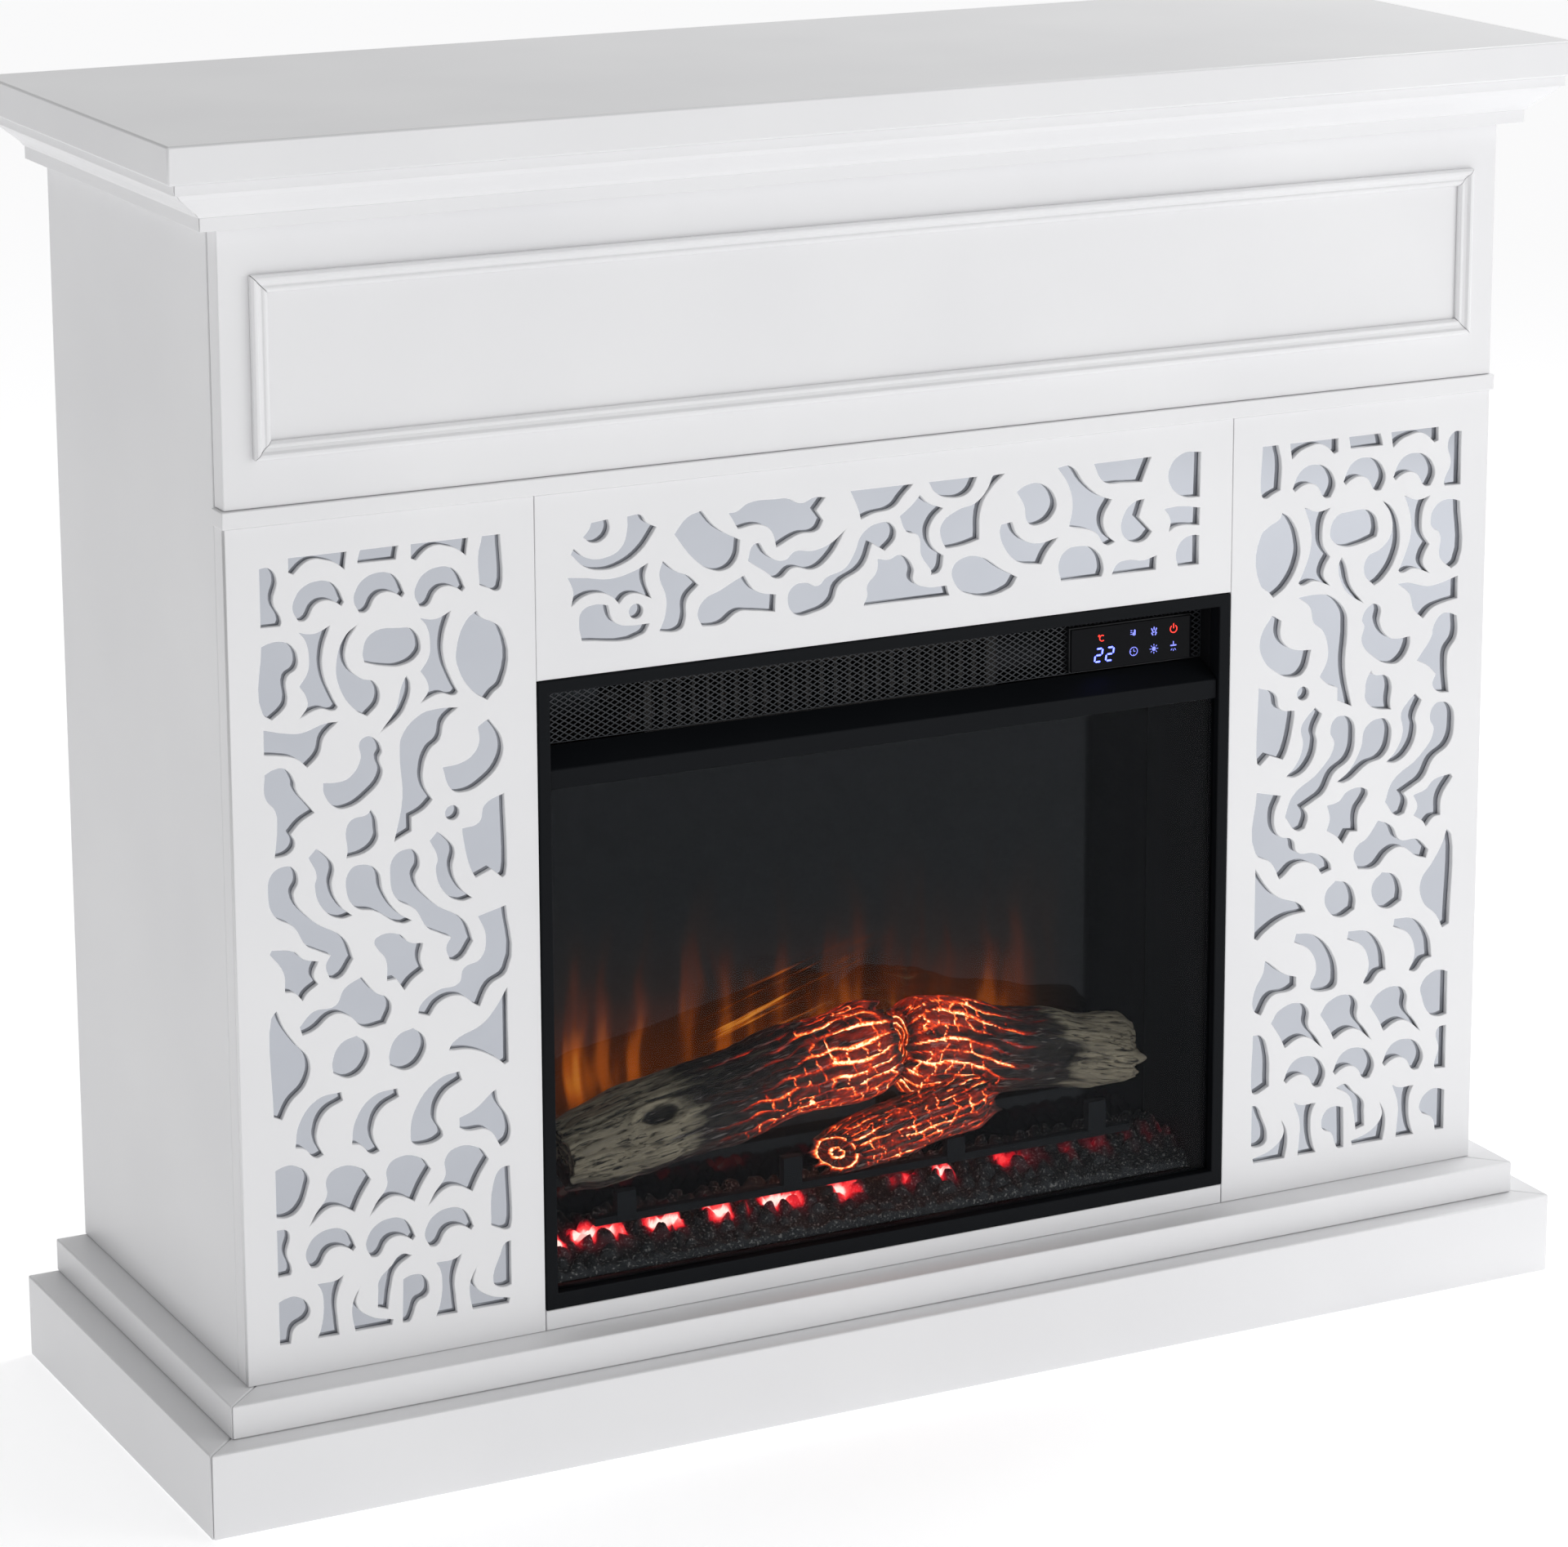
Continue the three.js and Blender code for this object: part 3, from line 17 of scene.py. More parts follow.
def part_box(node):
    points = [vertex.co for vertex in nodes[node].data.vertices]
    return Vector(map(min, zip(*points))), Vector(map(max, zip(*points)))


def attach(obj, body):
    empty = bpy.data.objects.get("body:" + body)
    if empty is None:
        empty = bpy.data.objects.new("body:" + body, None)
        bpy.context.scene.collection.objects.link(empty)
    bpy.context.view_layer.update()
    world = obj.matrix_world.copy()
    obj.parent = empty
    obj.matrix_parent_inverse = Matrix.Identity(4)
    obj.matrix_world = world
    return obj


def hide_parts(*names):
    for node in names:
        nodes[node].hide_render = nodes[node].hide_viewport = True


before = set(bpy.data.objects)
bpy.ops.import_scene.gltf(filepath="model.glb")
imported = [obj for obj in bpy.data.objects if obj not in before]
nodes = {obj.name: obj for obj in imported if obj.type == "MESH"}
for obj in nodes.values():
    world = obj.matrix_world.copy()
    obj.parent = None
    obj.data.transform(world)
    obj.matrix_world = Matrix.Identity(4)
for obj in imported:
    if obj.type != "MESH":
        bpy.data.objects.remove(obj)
scene = bpy.context.scene
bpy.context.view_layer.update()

# %% [markdown]
# ## Units and colours
# Blender works in metres, and boards are easier to think of in millimetres, so MM turns one
# into the other. Colours are given as sRGB hex values, which one function turns into the linear
# values that a shader adds and multiplies.

# %% Units and colours
MM = 0.001


def colour(hex_value):
    channels = [int(hex_value[i : i + 2], 16) / 255 for i in (1, 3, 5)]
    linear = [c / 12.92 if c <= 0.04045 else ((c + 0.055) / 1.055) ** 2.4 for c in channels]
    return (*linear, 1.0)


print("mid grey is", [round(c, 3) for c in colour("#808080")])

# %% [markdown]
# ## A way to write materials
# Every finish is a small node tree. One helper adds a node: its sockets are given by name or
# number, as a value or as the output of another node, and its settings by name. That keeps
# each material readable as a list of what it does, from the pattern to the surface.

# %% Node helper
def add_node(material, kind, sockets=None, **settings):
    tree = material.node_tree
    node = tree.nodes.new("ShaderNode" + kind)
    for name, value in settings.items():
        setattr(node, name, value)
    for name, value in (sockets or {}).items():
        if isinstance(value, bpy.types.NodeSocket):
            tree.links.new(value, node.inputs[name])
        else:
            node.inputs[name].default_value = value
    return node


def new_finish(name):
    material = bpy.data.materials.new(name)
    material.use_nodes = True
    material.node_tree.nodes.clear()
    return material


def surface_of(material, shader):
    output = add_node(material, "OutputMaterial")
    material.node_tree.links.new(shader, output.inputs["Surface"])
    return material


print("node helper ready")

# %% [markdown]
# ## White lacquer
# Satin polyurethane paint, sprayed on MDF. Sprayed paint dries with a fine orange peel, about
# 3 mm from bump to bump and only hundredths of a millimetre deep, so it softens reflections
# without showing as texture. The film varies slightly in tone. Where a board's edge has been
# knocked, small chips show the brown board. Bevelled faces carry an "edge" mark, so chips keep
# to the edges.

# %% White lacquer
def sprayed_lacquer(name, paint, chips):
    material = new_finish(name)
    place = add_node(material, "TexCoord").outputs["Object"]
    peel = add_node(material, "TexNoise", {"Vector": place, "Scale": 1 / (3 * MM), "Detail": 1.0})
    tone = add_node(material, "TexNoise", {"Vector": place, "Scale": 6.0, "Detail": 2.0})
    shade = add_node(material, "Mix", {
        0: tone.outputs["Fac"], 6: colour(paint), 7: colour("#E6E6E8"),
    }, data_type="RGBA")
    knocks = add_node(material, "TexNoise", {"Vector": place, "Scale": 60.0, "Detail": 3.0})
    edge = add_node(material, "Attribute", attribute_name="edge")
    on_edge = add_node(material, "Math", {
        0: knocks.outputs["Fac"], 1: edge.outputs["Fac"],
    }, operation="MULTIPLY")
    chip = add_node(material, "MapRange", {
        "Value": on_edge.outputs[0], "From Min": chips, "From Max": chips + 0.02,
    })
    coat = add_node(material, "Mix", {
        0: chip.outputs[0], 6: shade.outputs[2], 7: colour("#6E5B49"),
    }, data_type="RGBA")
    gloss = add_node(material, "MapRange", {
        "Value": tone.outputs["Fac"], "To Min": 0.36, "To Max": 0.46,
    })
    bump = add_node(material, "Bump", {
        "Height": peel.outputs["Fac"], "Strength": 0.25, "Distance": 0.06 * MM,
    })
    paint_film = add_node(material, "BsdfPrincipled", {
        "Base Color": coat.outputs[2], "Roughness": gloss.outputs[0], "IOR": 1.5,
        "Normal": bump.outputs[0],
    })
    return surface_of(material, paint_film.outputs[0])


white_lacquer = sprayed_lacquer("White_satin_lacquer_on_MDF", "#EFEFF0", 0.78)
print(white_lacquer.name)

# %% [markdown]
# ## Bare MDF
# The backs that nobody paints: pressed wood fibre, warm brown, matt, with short darker fibres
# about a millimetre long.

# %% Bare MDF
bare_mdf = new_finish("Bare_pressed_MDF")
place = add_node(bare_mdf, "TexCoord").outputs["Object"]
fibre = add_node(bare_mdf, "TexNoise", {"Vector": place, "Scale": 1 / (1.2 * MM), "Detail": 4.0})
patch = add_node(bare_mdf, "TexNoise", {"Vector": place, "Scale": 9.0, "Detail": 2.0})
fleck = add_node(bare_mdf, "MapRange", {
    "Value": fibre.outputs["Fac"], "From Min": 0.35, "From Max": 0.7,
})
board_tone = add_node(bare_mdf, "Mix", {
    0: patch.outputs["Fac"], 6: colour("#B99A70"), 7: colour("#A88A62"),
}, data_type="RGBA")
board_colour = add_node(bare_mdf, "Mix", {
    0: fleck.outputs[0], 6: colour("#8C7150"), 7: board_tone.outputs[2],
}, data_type="RGBA")
board_bump = add_node(bare_mdf, "Bump", {
    "Height": fibre.outputs["Fac"], "Strength": 0.4, "Distance": 0.1 * MM,
})
surface_of(bare_mdf, add_node(bare_mdf, "BsdfPrincipled", {
    "Base Color": board_colour.outputs[2], "Roughness": 0.85, "IOR": 1.5,
    "Normal": board_bump.outputs[0],
}).outputs[0])
print(bare_mdf.name)

# %% [markdown]
# ## Metals, plastics and mirror
# These share one recipe, because they differ only in numbers: a base colour that drifts a
# little, a roughness that drifts with it, and a fine grain as bump. Powder coat is textured
# polyester baked on steel, with a grain near 1 mm. Galvanised steel has zinc spangle, crystals
# of 8 mm that differ in tone. Moulded ABS has a spark-eroded grain. A mirror is silvered float
# glass, so it is all reflection with a faint cool tint.

# %% Shared recipe
def grained(name, base, second, metallic, roughness, grain_mm, depth_mm, ior=1.5, cells=False):
    material = new_finish(name)
    place = add_node(material, "TexCoord").outputs["Object"]
    if cells:
        pattern = add_node(material, "TexVoronoi", {"Vector": place, "Scale": 1 / (cells * MM)})
        drift = add_node(material, "SeparateColor", {0: pattern.outputs["Color"]}).outputs[0]
    else:
        drift = add_node(material, "TexNoise", {
            "Vector": place, "Scale": 14.0, "Detail": 3.0,
        }).outputs["Fac"]
    grain = add_node(material, "TexNoise", {
        "Vector": place, "Scale": 1 / (grain_mm * MM), "Detail": 2.0,
    })
    shade = add_node(material, "Mix", {
        0: drift, 6: colour(base), 7: colour(second),
    }, data_type="RGBA")
    gloss = add_node(material, "MapRange", {
        "Value": drift, "To Min": roughness * 0.85, "To Max": roughness * 1.15,
    })
    bump = add_node(material, "Bump", {
        "Height": grain.outputs["Fac"], "Strength": 0.5, "Distance": depth_mm * MM,
    })
    shader = add_node(material, "BsdfPrincipled", {
        "Base Color": shade.outputs[2], "Metallic": metallic, "Roughness": gloss.outputs[0],
        "IOR": ior, "Normal": bump.outputs[0],
    })
    return surface_of(material, shader.outputs[0])


powder_coat = grained("Black_powder_coated_steel", "#0F1114", "#131518", 0.0, 0.5, 1.13, 0.02, 1.16)
liner_coat = grained("Matt_black_liner_steel", "#131417", "#0F1012", 0.0, 0.6, 5.0, 0.02, 1.3)
# dark colour for the heater fins and blower wheel: painted shade for where they sit behind the outlet
# mesh
fins_dark_painted_shade = grained("Dark_heater_fins_painted_shade", "#161412", "#221C18", 0.2, 0.6, 1.57, 0.02)
galvanised = grained("Galvanised_steel", "#9A9EA3", "#7F848A", 1.0, 0.38, 2.0, 0.02, cells=8)
aluminium = grained("Mill_finish_aluminium", "#C4C7CA", "#AEB2B6", 1.0, 0.32, 1.5, 0.02)
black_abs = grained("Moulded_black_ABS", "#17181B", "#1D1E21", 0.0, 0.45, 0.83, 0.03)
gloss_black = grained("Black_acrylic_lens", "#090A0D", "#0C0D11", 0.0, 0.06, 4.0, 0.002, 1.16)
zinc_screw = grained("Zinc_plated_screw", "#A7ABAF", "#8E9297", 1.0, 0.3, 1.5, 0.02)
steel_mesh = grained("Expanded_steel_mesh", "#2B2E33", "#212428", 0.2, 0.45, 1.13, 0.02)
board_green = grained("Green_circuit_board", "#1E5A38", "#174A2D", 0.0, 0.35, 2.5, 0.01)
chip_black = grained("Epoxy_chip_package", "#1A1B1D", "#232427", 0.0, 0.5, 0.6, 0.02)
amber_lens = grained("Amber_LED_window", "#FF9A3C", "#F28A2C", 0.0, 0.2, 1.0, 0.005)
mirror_silver = grained("Silvered_mirror", "#B5B8BE", "#ACAFB6", 1.0, 0.02, 60.0, 0.002)
print("finishes:", len(bpy.data.materials))

# %% [markdown]
# ## Camera
# The view is from the left and a little above, with a long lens. The lens is shifted rather
# than turned, so that upright boards stay upright in the picture.

# %% Camera
VIEW_TURN = math.radians(-27.61)
VIEW_DIP = math.radians(13.134)
lens = bpy.data.cameras.new("camera")
lens.sensor_width = 36.0
lens.lens = 119.7
lens.shift_x = -0.0521
lens.shift_y = -0.1495
lens.clip_end = 60.0
camera = bpy.data.objects.new("camera", lens)
camera.location = (-1.78768, -3.52430, 1.56097)
camera.rotation_euler = (math.pi / 2 - VIEW_DIP, 0.0, VIEW_TURN)
scene.collection.objects.link(camera)
scene.camera = camera
print("camera at", list(camera.location))

# %% [markdown]
# ## Floor and light
# White paint shows its form only through soft differences of light, so the room is bright and
# even, with one large lamp high on the right that makes the front a little brighter than the
# left side, and a weaker one on the left. The floor is a plain pale sheet.

# %% Floor and light
bpy.ops.mesh.primitive_plane_add(size=30, location=(0, 0, 0))
floor = bpy.context.object
floor.name = "floor"
floor_paint = new_finish("Pale_studio_floor")
surface_of(floor_paint, add_node(floor_paint, "BsdfPrincipled", {
    "Base Color": colour("#FCFCFD"), "Roughness": 0.9,
    "Emission Color": colour("#FFFFFF"), "Emission Strength": 0.46,
}).outputs[0])
floor.data.materials.append(floor_paint)

room = bpy.data.worlds.new("room")
room.use_nodes = True
room.node_tree.nodes.clear()
sky = add_node(room, "SeparateXYZ", {0: add_node(room, "TexCoord").outputs["Generated"]})
overhead = add_node(room, "MapRange", {
    "Value": sky.outputs[2], "From Min": 0.25, "From Max": 1.0, "To Min": 1.0, "To Max": 0.62,
})
sideways = add_node(room, "MapRange", {
    "Value": sky.outputs[0], "From Min": -1.0, "From Max": 0.35, "To Min": 0.24, "To Max": 0.82,
})
brightness = add_node(room, "Math", {
    0: overhead.outputs[0], 1: sideways.outputs[0],
}, operation="MULTIPLY")
seen = add_node(room, "LightPath").outputs["Is Camera Ray"]
level = add_node(room, "Mix", {0: seen, 2: brightness.outputs[0], 3: 1.0}, data_type="FLOAT")
backdrop = add_node(room, "Background", {
    "Color": colour("#FFFFFF"), "Strength": level.outputs[0],
})
room_output = add_node(room, "OutputWorld", {"Surface": backdrop.outputs[0]})
scene.world = room
scene.view_settings.view_transform = "Standard"


def lamp(name, at, aim, size, power):
    light = bpy.data.lights.new(name, "AREA")
    light.shape, light.size, light.energy = "SQUARE", size, power
    holder = bpy.data.objects.new(name, light)
    holder.location = at
    holder.rotation_euler = (Vector(aim) - Vector(at)).to_track_quat("-Z", "Y").to_euler()
    scene.collection.objects.link(holder)
    return holder


lamp("key", (2.5, -2.5, 1.4), (0.3, 0, 0.5), 1.8, 21)
lamp("rim", (2.1, 0.7, 2.6), (0.6, 0, 1.0), 1.4, 28)
lamp("fill", (-3.4, -1.8, 1.6), (0, 0, 0.5), 2.0, 3)

# %% [markdown]
# ## From CAD nodes to real boards
# The CAD boards have knife edges, and real ones are sanded before they are painted. A copy of
# the node's mesh is merged, its flat faces are joined, and its sharp edges are bevelled. The
# CAD node itself is left alone, because the copy only stands for it.

# %% Board helpers
def working_copy(node):
    shape = bmesh.new()
    shape.from_mesh(nodes[node].data)
    shape.faces.layers.float.new("edge")
    bmesh.ops.remove_doubles(shape, verts=shape.verts, dist=0.001 * MM)
    bmesh.ops.dissolve_limit(
        shape, angle_limit=math.radians(0.5), verts=shape.verts, edges=shape.edges
    )
    return shape


def finish_piece(name, shape, material, stands_for=(), body="fireplace"):
    mesh = bpy.data.meshes.new(name)
    shape.to_mesh(mesh)
    shape.free()
    mesh.materials.append(material)
    piece = bpy.data.objects.new(name, mesh)
    scene.collection.objects.link(piece)
    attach(piece, body)
    if stands_for:
        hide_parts(*stands_for)
    return piece


def ease_edges(shape, radius, sharper_than=25, segments=2):
    edge_mark = shape.faces.layers.float.get("edge") or shape.faces.layers.float.new("edge")
    sharp = [
        e for e in shape.edges
        if len(e.link_faces) == 2 and e.calc_face_angle() > math.radians(sharper_than)
    ]
    rounded = bmesh.ops.bevel(
        shape, geom=sharp, offset=radius, offset_type="OFFSET", segments=segments,
        profile=0.5, affect="EDGES", clamp_overlap=True, material=-1,
    )
    for face in rounded["faces"]:
        face[edge_mark] = 1.0
        face.smooth = True


def eased(node, radius, material, suffix="painted", body="fireplace", sharper_than=25):
    shape = working_copy(node)
    ease_edges(shape, radius, sharper_than)
    return finish_piece(f"{node}_{suffix}", shape, material, [node], body)


print("board helpers ready")

# %% Painted boards
PAINTED = [
    "plinth_front", "plinth_left", "plinth_right", "base_step_front", "base_step_left",
    "base_step_right", "base_shelf", "mantel_top", "crown_front", "crown_left", "crown_right",
    "frieze_board", "belt_rail", "bottom_rail", "side_panel_left", "side_panel_right",
    "frieze_trim_top", "frieze_trim_bottom", "frieze_trim_left", "frieze_trim_right",
]
EASE = {"mantel_top": 1.6, "plinth": 1.4, "base": 1.2, "crown": 0.5, "frieze_trim": 0.4}
for node in PAINTED:
    radius = next((r for start, r in EASE.items() if node.startswith(start)), 0.8)
    eased(node, radius * MM, white_lacquer)
print("painted boards:", len(PAINTED))

# %% [markdown]
# ## Fretwork panels
# Each panel is a 5 mm board with leaf-shaped openings cut by a router, so the openings are
# smooth curves that meet in points, and every edge is slightly rounded. The CAD panel has the
# openings as straight-sided polygons. Its front face gives the loops, and a flat curve is run
# through them, smooth where the outline bends gently and sharp where it turns hard. The curve
# is given its thickness and a small round edge, and is then made a mesh.

# %% Fretwork panels
CORNER_TURN = math.radians(62)
FRET_EDGE = 0.6 * MM


def front_loops(node):
    shape = working_copy(node)
    hidden = [f for f in shape.faces if f.normal.y > -0.9]
    bmesh.ops.delete(shape, geom=hidden, context="FACES")
    bmesh.ops.remove_doubles(shape, verts=shape.verts, dist=0.01 * MM)
    border = {e for e in shape.edges if e.is_boundary}
    loops = []
    while border:
        edge = border.pop()
        first, at = edge.verts
        loop = [first, at]
        while at is not first:
            step = next(e for e in at.link_edges if e in border)
            border.discard(step)
            at = step.other_vert(at)
            loop.append(at)
        loops.append([(v.co.x, v.co.z) for v in loop[:-1]])
    front = min(v.co.y for v in shape.verts)
    shape.free()
    return loops, front


def without_straights(loop):
    kept = []
    for i, point in enumerate(loop):
        before = Vector(point) - Vector(loop[i - 1])
        after = Vector(loop[(i + 1) % len(loop)]) - Vector(point)
        if before.length < 0.05 * MM:
            continue
        if before.angle(after, 0.0) > math.radians(0.4):
            kept.append(point)
    return kept


def add_outline(curve, loop, all_sharp):
    spline = curve.splines.new("BEZIER")
    spline.bezier_points.add(len(loop) - 1)
    spline.use_cyclic_u = True
    for i, knot in enumerate(spline.bezier_points):
        here = Vector(loop[i])
        turn = (here - Vector(loop[i - 1])).angle(Vector(loop[(i + 1) % len(loop)]) - here, 0.0)
        knot.co = (*loop[i], 0.0)
        kind = "VECTOR" if all_sharp or turn > CORNER_TURN else "AUTO"
        knot.handle_left_type = knot.handle_right_type = kind


def routed_panel(node):
    loops, front = front_loops(node)
    low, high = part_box(node)
    thickness = high.y - low.y
    curve = bpy.data.curves.new(node + "_outline", "CURVE")
    curve.dimensions, curve.fill_mode = "2D", "BOTH"
    curve.extrude = thickness / 2 - FRET_EDGE
    curve.bevel_depth, curve.offset = FRET_EDGE, -FRET_EDGE
    curve.bevel_resolution, curve.resolution_u = 1, 5
    for loop in loops:
        outer = max(x for x, z in loop) - min(x for x, z in loop) > 0.9 * (high.x - low.x)
        add_outline(curve, without_straights(loop), outer)
    holder = bpy.data.objects.new(node + "_outline", curve)
    scene.collection.objects.link(holder)
    bpy.context.view_layer.update()
    mesh = bpy.data.meshes.new_from_object(
        holder.evaluated_get(bpy.context.evaluated_depsgraph_get())
    )
    bpy.data.objects.remove(holder)
    mesh.transform(
        Matrix.Translation((0, front + thickness / 2, 0)) @ Matrix.Rotation(math.pi / 2, 4, "X")
    )
    shape = bmesh.new()
    shape.from_mesh(mesh)
    bmesh.ops.remove_doubles(shape, verts=shape.verts, dist=0.005 * MM)
    for face in shape.faces:
        face.smooth = abs(face.normal.y) < 0.99
    piece = finish_piece(f"{node}_routed", shape, white_lacquer, [node])
    print(piece.name, len(loops) - 1, "openings", len(piece.data.polygons), "faces")
    return piece


for node in ("fret_panel_left", "fret_panel_right", "fret_panel_header"):
    routed_panel(node)

# %% [markdown]
# ## Mirrors and fascias
# Thin float-glass mirrors lie behind the fretwork. They are only seen through the openings.
# The fascia boards behind them are painted on their outer ends, which show as a fine joint at
# the mantel's corners.

# %% Mirrors and fascias
for node in ("mirror_left", "mirror_right", "mirror_header"):
    eased(node, 0.4 * MM, mirror_silver, "silvered")
for node in ("fascia_left", "fascia_right", "fascia_header"):
    eased(node, 0.6 * MM, white_lacquer)
for node in ("upright_left", "upright_right", "back_rail"):
    eased(node, 0.6 * MM, bare_mdf, "bare")
print("mirrors and fascias placed")

# %% [markdown]
# ## Bezel and hood
# The front frame and the sloping hood are folded steel with a black powder coat. Folded edges
# are never sharp, and the hood's round lip is what catches the light. A narrow groove under the
# lip parts the hood from the glass.

# %% Bezel and hood
eased("bezel_frame", 0.9 * MM, powder_coat, "coated")
eased("outlet_hood", 0.8 * MM, powder_coat, "coated", sharper_than=15)
eased("grate", 0.8 * MM, liner_coat, "cast")
print("bezel, hood and grate placed")

# %% [markdown]
# ## Expanded mesh behind the outlet
# Expanded mesh is a steel sheet, slit and pulled open into diamonds, here 7.5 mm wide and
# 4.5 mm high. A grid turned by 45 degrees and squashed gives the diamonds, each face is inset
# to leave the strands, the insides are deleted, and the sheet is given its thickness. It stops
# where the display's housing takes its place.

# %% Expanded mesh
DIAMOND = (7.5 * MM, 4.5 * MM)
STRAND = 0.42 * MM


def expanded_mesh(low, high, gap_low, gap_high):
    shape = bmesh.new()
    width = high.x - low.x
    cells = math.ceil(width / DIAMOND[0]) + 12
    bmesh.ops.create_grid(shape, x_segments=cells, y_segments=cells, size=cells / 2)
    bmesh.ops.rotate(shape, verts=shape.verts, matrix=Matrix.Rotation(math.pi / 4, 3, "Z"))
    bmesh.ops.scale(
        shape, verts=shape.verts, vec=(DIAMOND[0] / math.sqrt(2), DIAMOND[1] / math.sqrt(2), 1)
    )
    bmesh.ops.translate(
        shape, verts=shape.verts, vec=((low.x + high.x) / 2, (low.z + high.z) / 2, 0)
    )
    for point, direction in (
        ((low.x, 0, 0), (-1, 0, 0)), ((high.x, 0, 0), (1, 0, 0)),
        ((0, low.z, 0), (0, -1, 0)), ((0, high.z, 0), (0, 1, 0)),
    ):
        bmesh.ops.bisect_plane(
            shape, geom=shape.verts[:] + shape.edges[:] + shape.faces[:], dist=1e-7,
            plane_co=point, plane_no=direction, clear_outer=True,
        )
    behind = [
        f for f in shape.faces
        if gap_low.x < f.calc_center_median().x < gap_high.x
        and gap_low.z < f.calc_center_median().y < gap_high.z
    ]
    bmesh.ops.delete(shape, geom=behind, context="FACES")
    crumbs = [f for f in shape.faces if f.calc_area() < 0.12 * DIAMOND[0] * DIAMOND[1]]
    whole = [f for f in shape.faces if f not in set(crumbs)]
    bmesh.ops.inset_individual(shape, faces=whole, thickness=STRAND, use_even_offset=True)
    bmesh.ops.delete(shape, geom=whole, context="FACES_ONLY")
    bmesh.ops.solidify(shape, geom=shape.faces[:], thickness=0.7 * MM)
    bmesh.ops.transform(
        shape, verts=shape.verts,
        matrix=Matrix.Translation((0, low.y + 0.2 * MM, 0)) @ Matrix.Rotation(math.pi / 2, 4, "X"),
    )
    bmesh.ops.recalc_face_normals(shape, faces=shape.faces)
    return shape


low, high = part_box("outlet_grille")
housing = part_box("control_housing")
mesh_sheet = expanded_mesh(low, high, *housing)
piece = finish_piece("outlet_mesh", mesh_sheet, steel_mesh, ["outlet_grille"])
print(piece.name, len(piece.data.polygons), "faces")

# %% [markdown]
# ## Glass over the fire
# A toughened pane, 4 mm thick. It is modelled as a surface that lets light straight through,
# slightly darkened, with a weak mirror on top, because the pane is flat and thin enough that
# nothing behind it looks bent. The coating keeps the mirror weak, so the fire stays clear.

# %% Glass over the fire
coated_glass = new_finish("Toughened_coated_glass")
facing = add_node(coated_glass, "LayerWeight", {"Blend": 0.2})
share = add_node(coated_glass, "MapRange", {
    "Value": facing.outputs["Facing"], "To Min": 0.003, "To Max": 0.03,
})
smear = add_node(coated_glass, "TexNoise", {
    "Vector": add_node(coated_glass, "TexCoord").outputs["Object"], "Scale": 8.0, "Detail": 2.0,
})
smear_gloss = add_node(coated_glass, "MapRange", {
    "Value": smear.outputs["Fac"], "To Min": 0.02, "To Max": 0.08,
})
seen_through = add_node(coated_glass, "BsdfTransparent", {"Color": colour("#E6E8EA")})
mirrored = add_node(coated_glass, "BsdfGlossy", {
    "Color": colour("#E8EEF4"), "Roughness": smear_gloss.outputs[0],
})
pane = add_node(coated_glass, "MixShader", {
    0: share.outputs[0], 1: seen_through.outputs[0], 2: mirrored.outputs[0],
})
surface_of(coated_glass, pane.outputs[0])
eased("glass_pane", 0.5 * MM, coated_glass, "toughened")
print("glass placed")

# %% [markdown]
# ## Display
# A smoked acrylic window over a small touch panel. What glows through it is drawn as thin
# raised marks: a two-digit number in slanted seven-segment bars, a degree sign and letter, and
# six icons. Bars, rings and arcs are enough for all of them, so two helpers make every mark.

# %% Display marks
MARK = 0.35 * MM  # how thick a mark is
low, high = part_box("control_lens")
LENS_FRONT = low.y


def bar_mark(shape, centre, length, width, turn=0.0, slant=0.0):
    made = bmesh.ops.create_cube(shape, size=1.0)["verts"]
    bmesh.ops.scale(shape, verts=made, vec=(length, MARK, width))
    upright = [
        e for e in {e for v in made for e in v.link_edges}
        if abs((e.verts[0].co - e.verts[1].co).normalized().y) > 0.9
    ]
    cut = bmesh.ops.bevel(
        shape, geom=upright, offset=width * 0.45, offset_type="OFFSET", segments=1,
        profile=0.5, affect="EDGES", clamp_overlap=True, material=-1,
    )
    made = list({v for f in cut["faces"] for v in f.verts} | {v for v in made if v.is_valid})
    bmesh.ops.rotate(shape, verts=made, matrix=Matrix.Rotation(-turn, 3, "Y"))
    for v in made:
        v.co.x += v.co.z * slant
    x, z = centre
    bmesh.ops.translate(shape, verts=made, vec=(x + slant * z, 0, z))


def arc_mark(shape, centre, radius, width, start=0.0, sweep=2 * math.pi):
    x, z = centre
    ring = bmesh.ops.create_grid(shape, x_segments=1, y_segments=1, size=0.5)["verts"]
    bmesh.ops.scale(shape, verts=ring, vec=(width, MARK, 1))
    bmesh.ops.translate(shape, verts=ring, vec=(radius, 0, 0))
    bmesh.ops.rotate(shape, verts=ring, matrix=Matrix.Rotation(-start, 3, "Y"))
    full = sweep > 6.28
    faces = list({f for v in ring for f in v.link_faces})
    bmesh.ops.spin(
        shape, geom=faces, cent=(0, 0, 0), axis=(0, -1, 0), angle=sweep,
        steps=24 if full else 14, use_merge=full, use_duplicate=False,
    )
    if full:
        bmesh.ops.delete(shape, geom=[f for f in faces if f.is_valid], context="FACES_ONLY")
    return x, z


def placed_mark(name, draw, at, material, size=1.0):
    shape = bmesh.new()
    draw(shape)
    bmesh.ops.scale(shape, verts=shape.verts, vec=(size, 1, size))
    bmesh.ops.remove_doubles(shape, verts=shape.verts, dist=0.001 * MM)
    bmesh.ops.recalc_face_normals(shape, faces=shape.faces)
    bmesh.ops.translate(shape, verts=shape.verts, vec=(at[0], LENS_FRONT, at[1]))
    return finish_piece(name, shape, material)


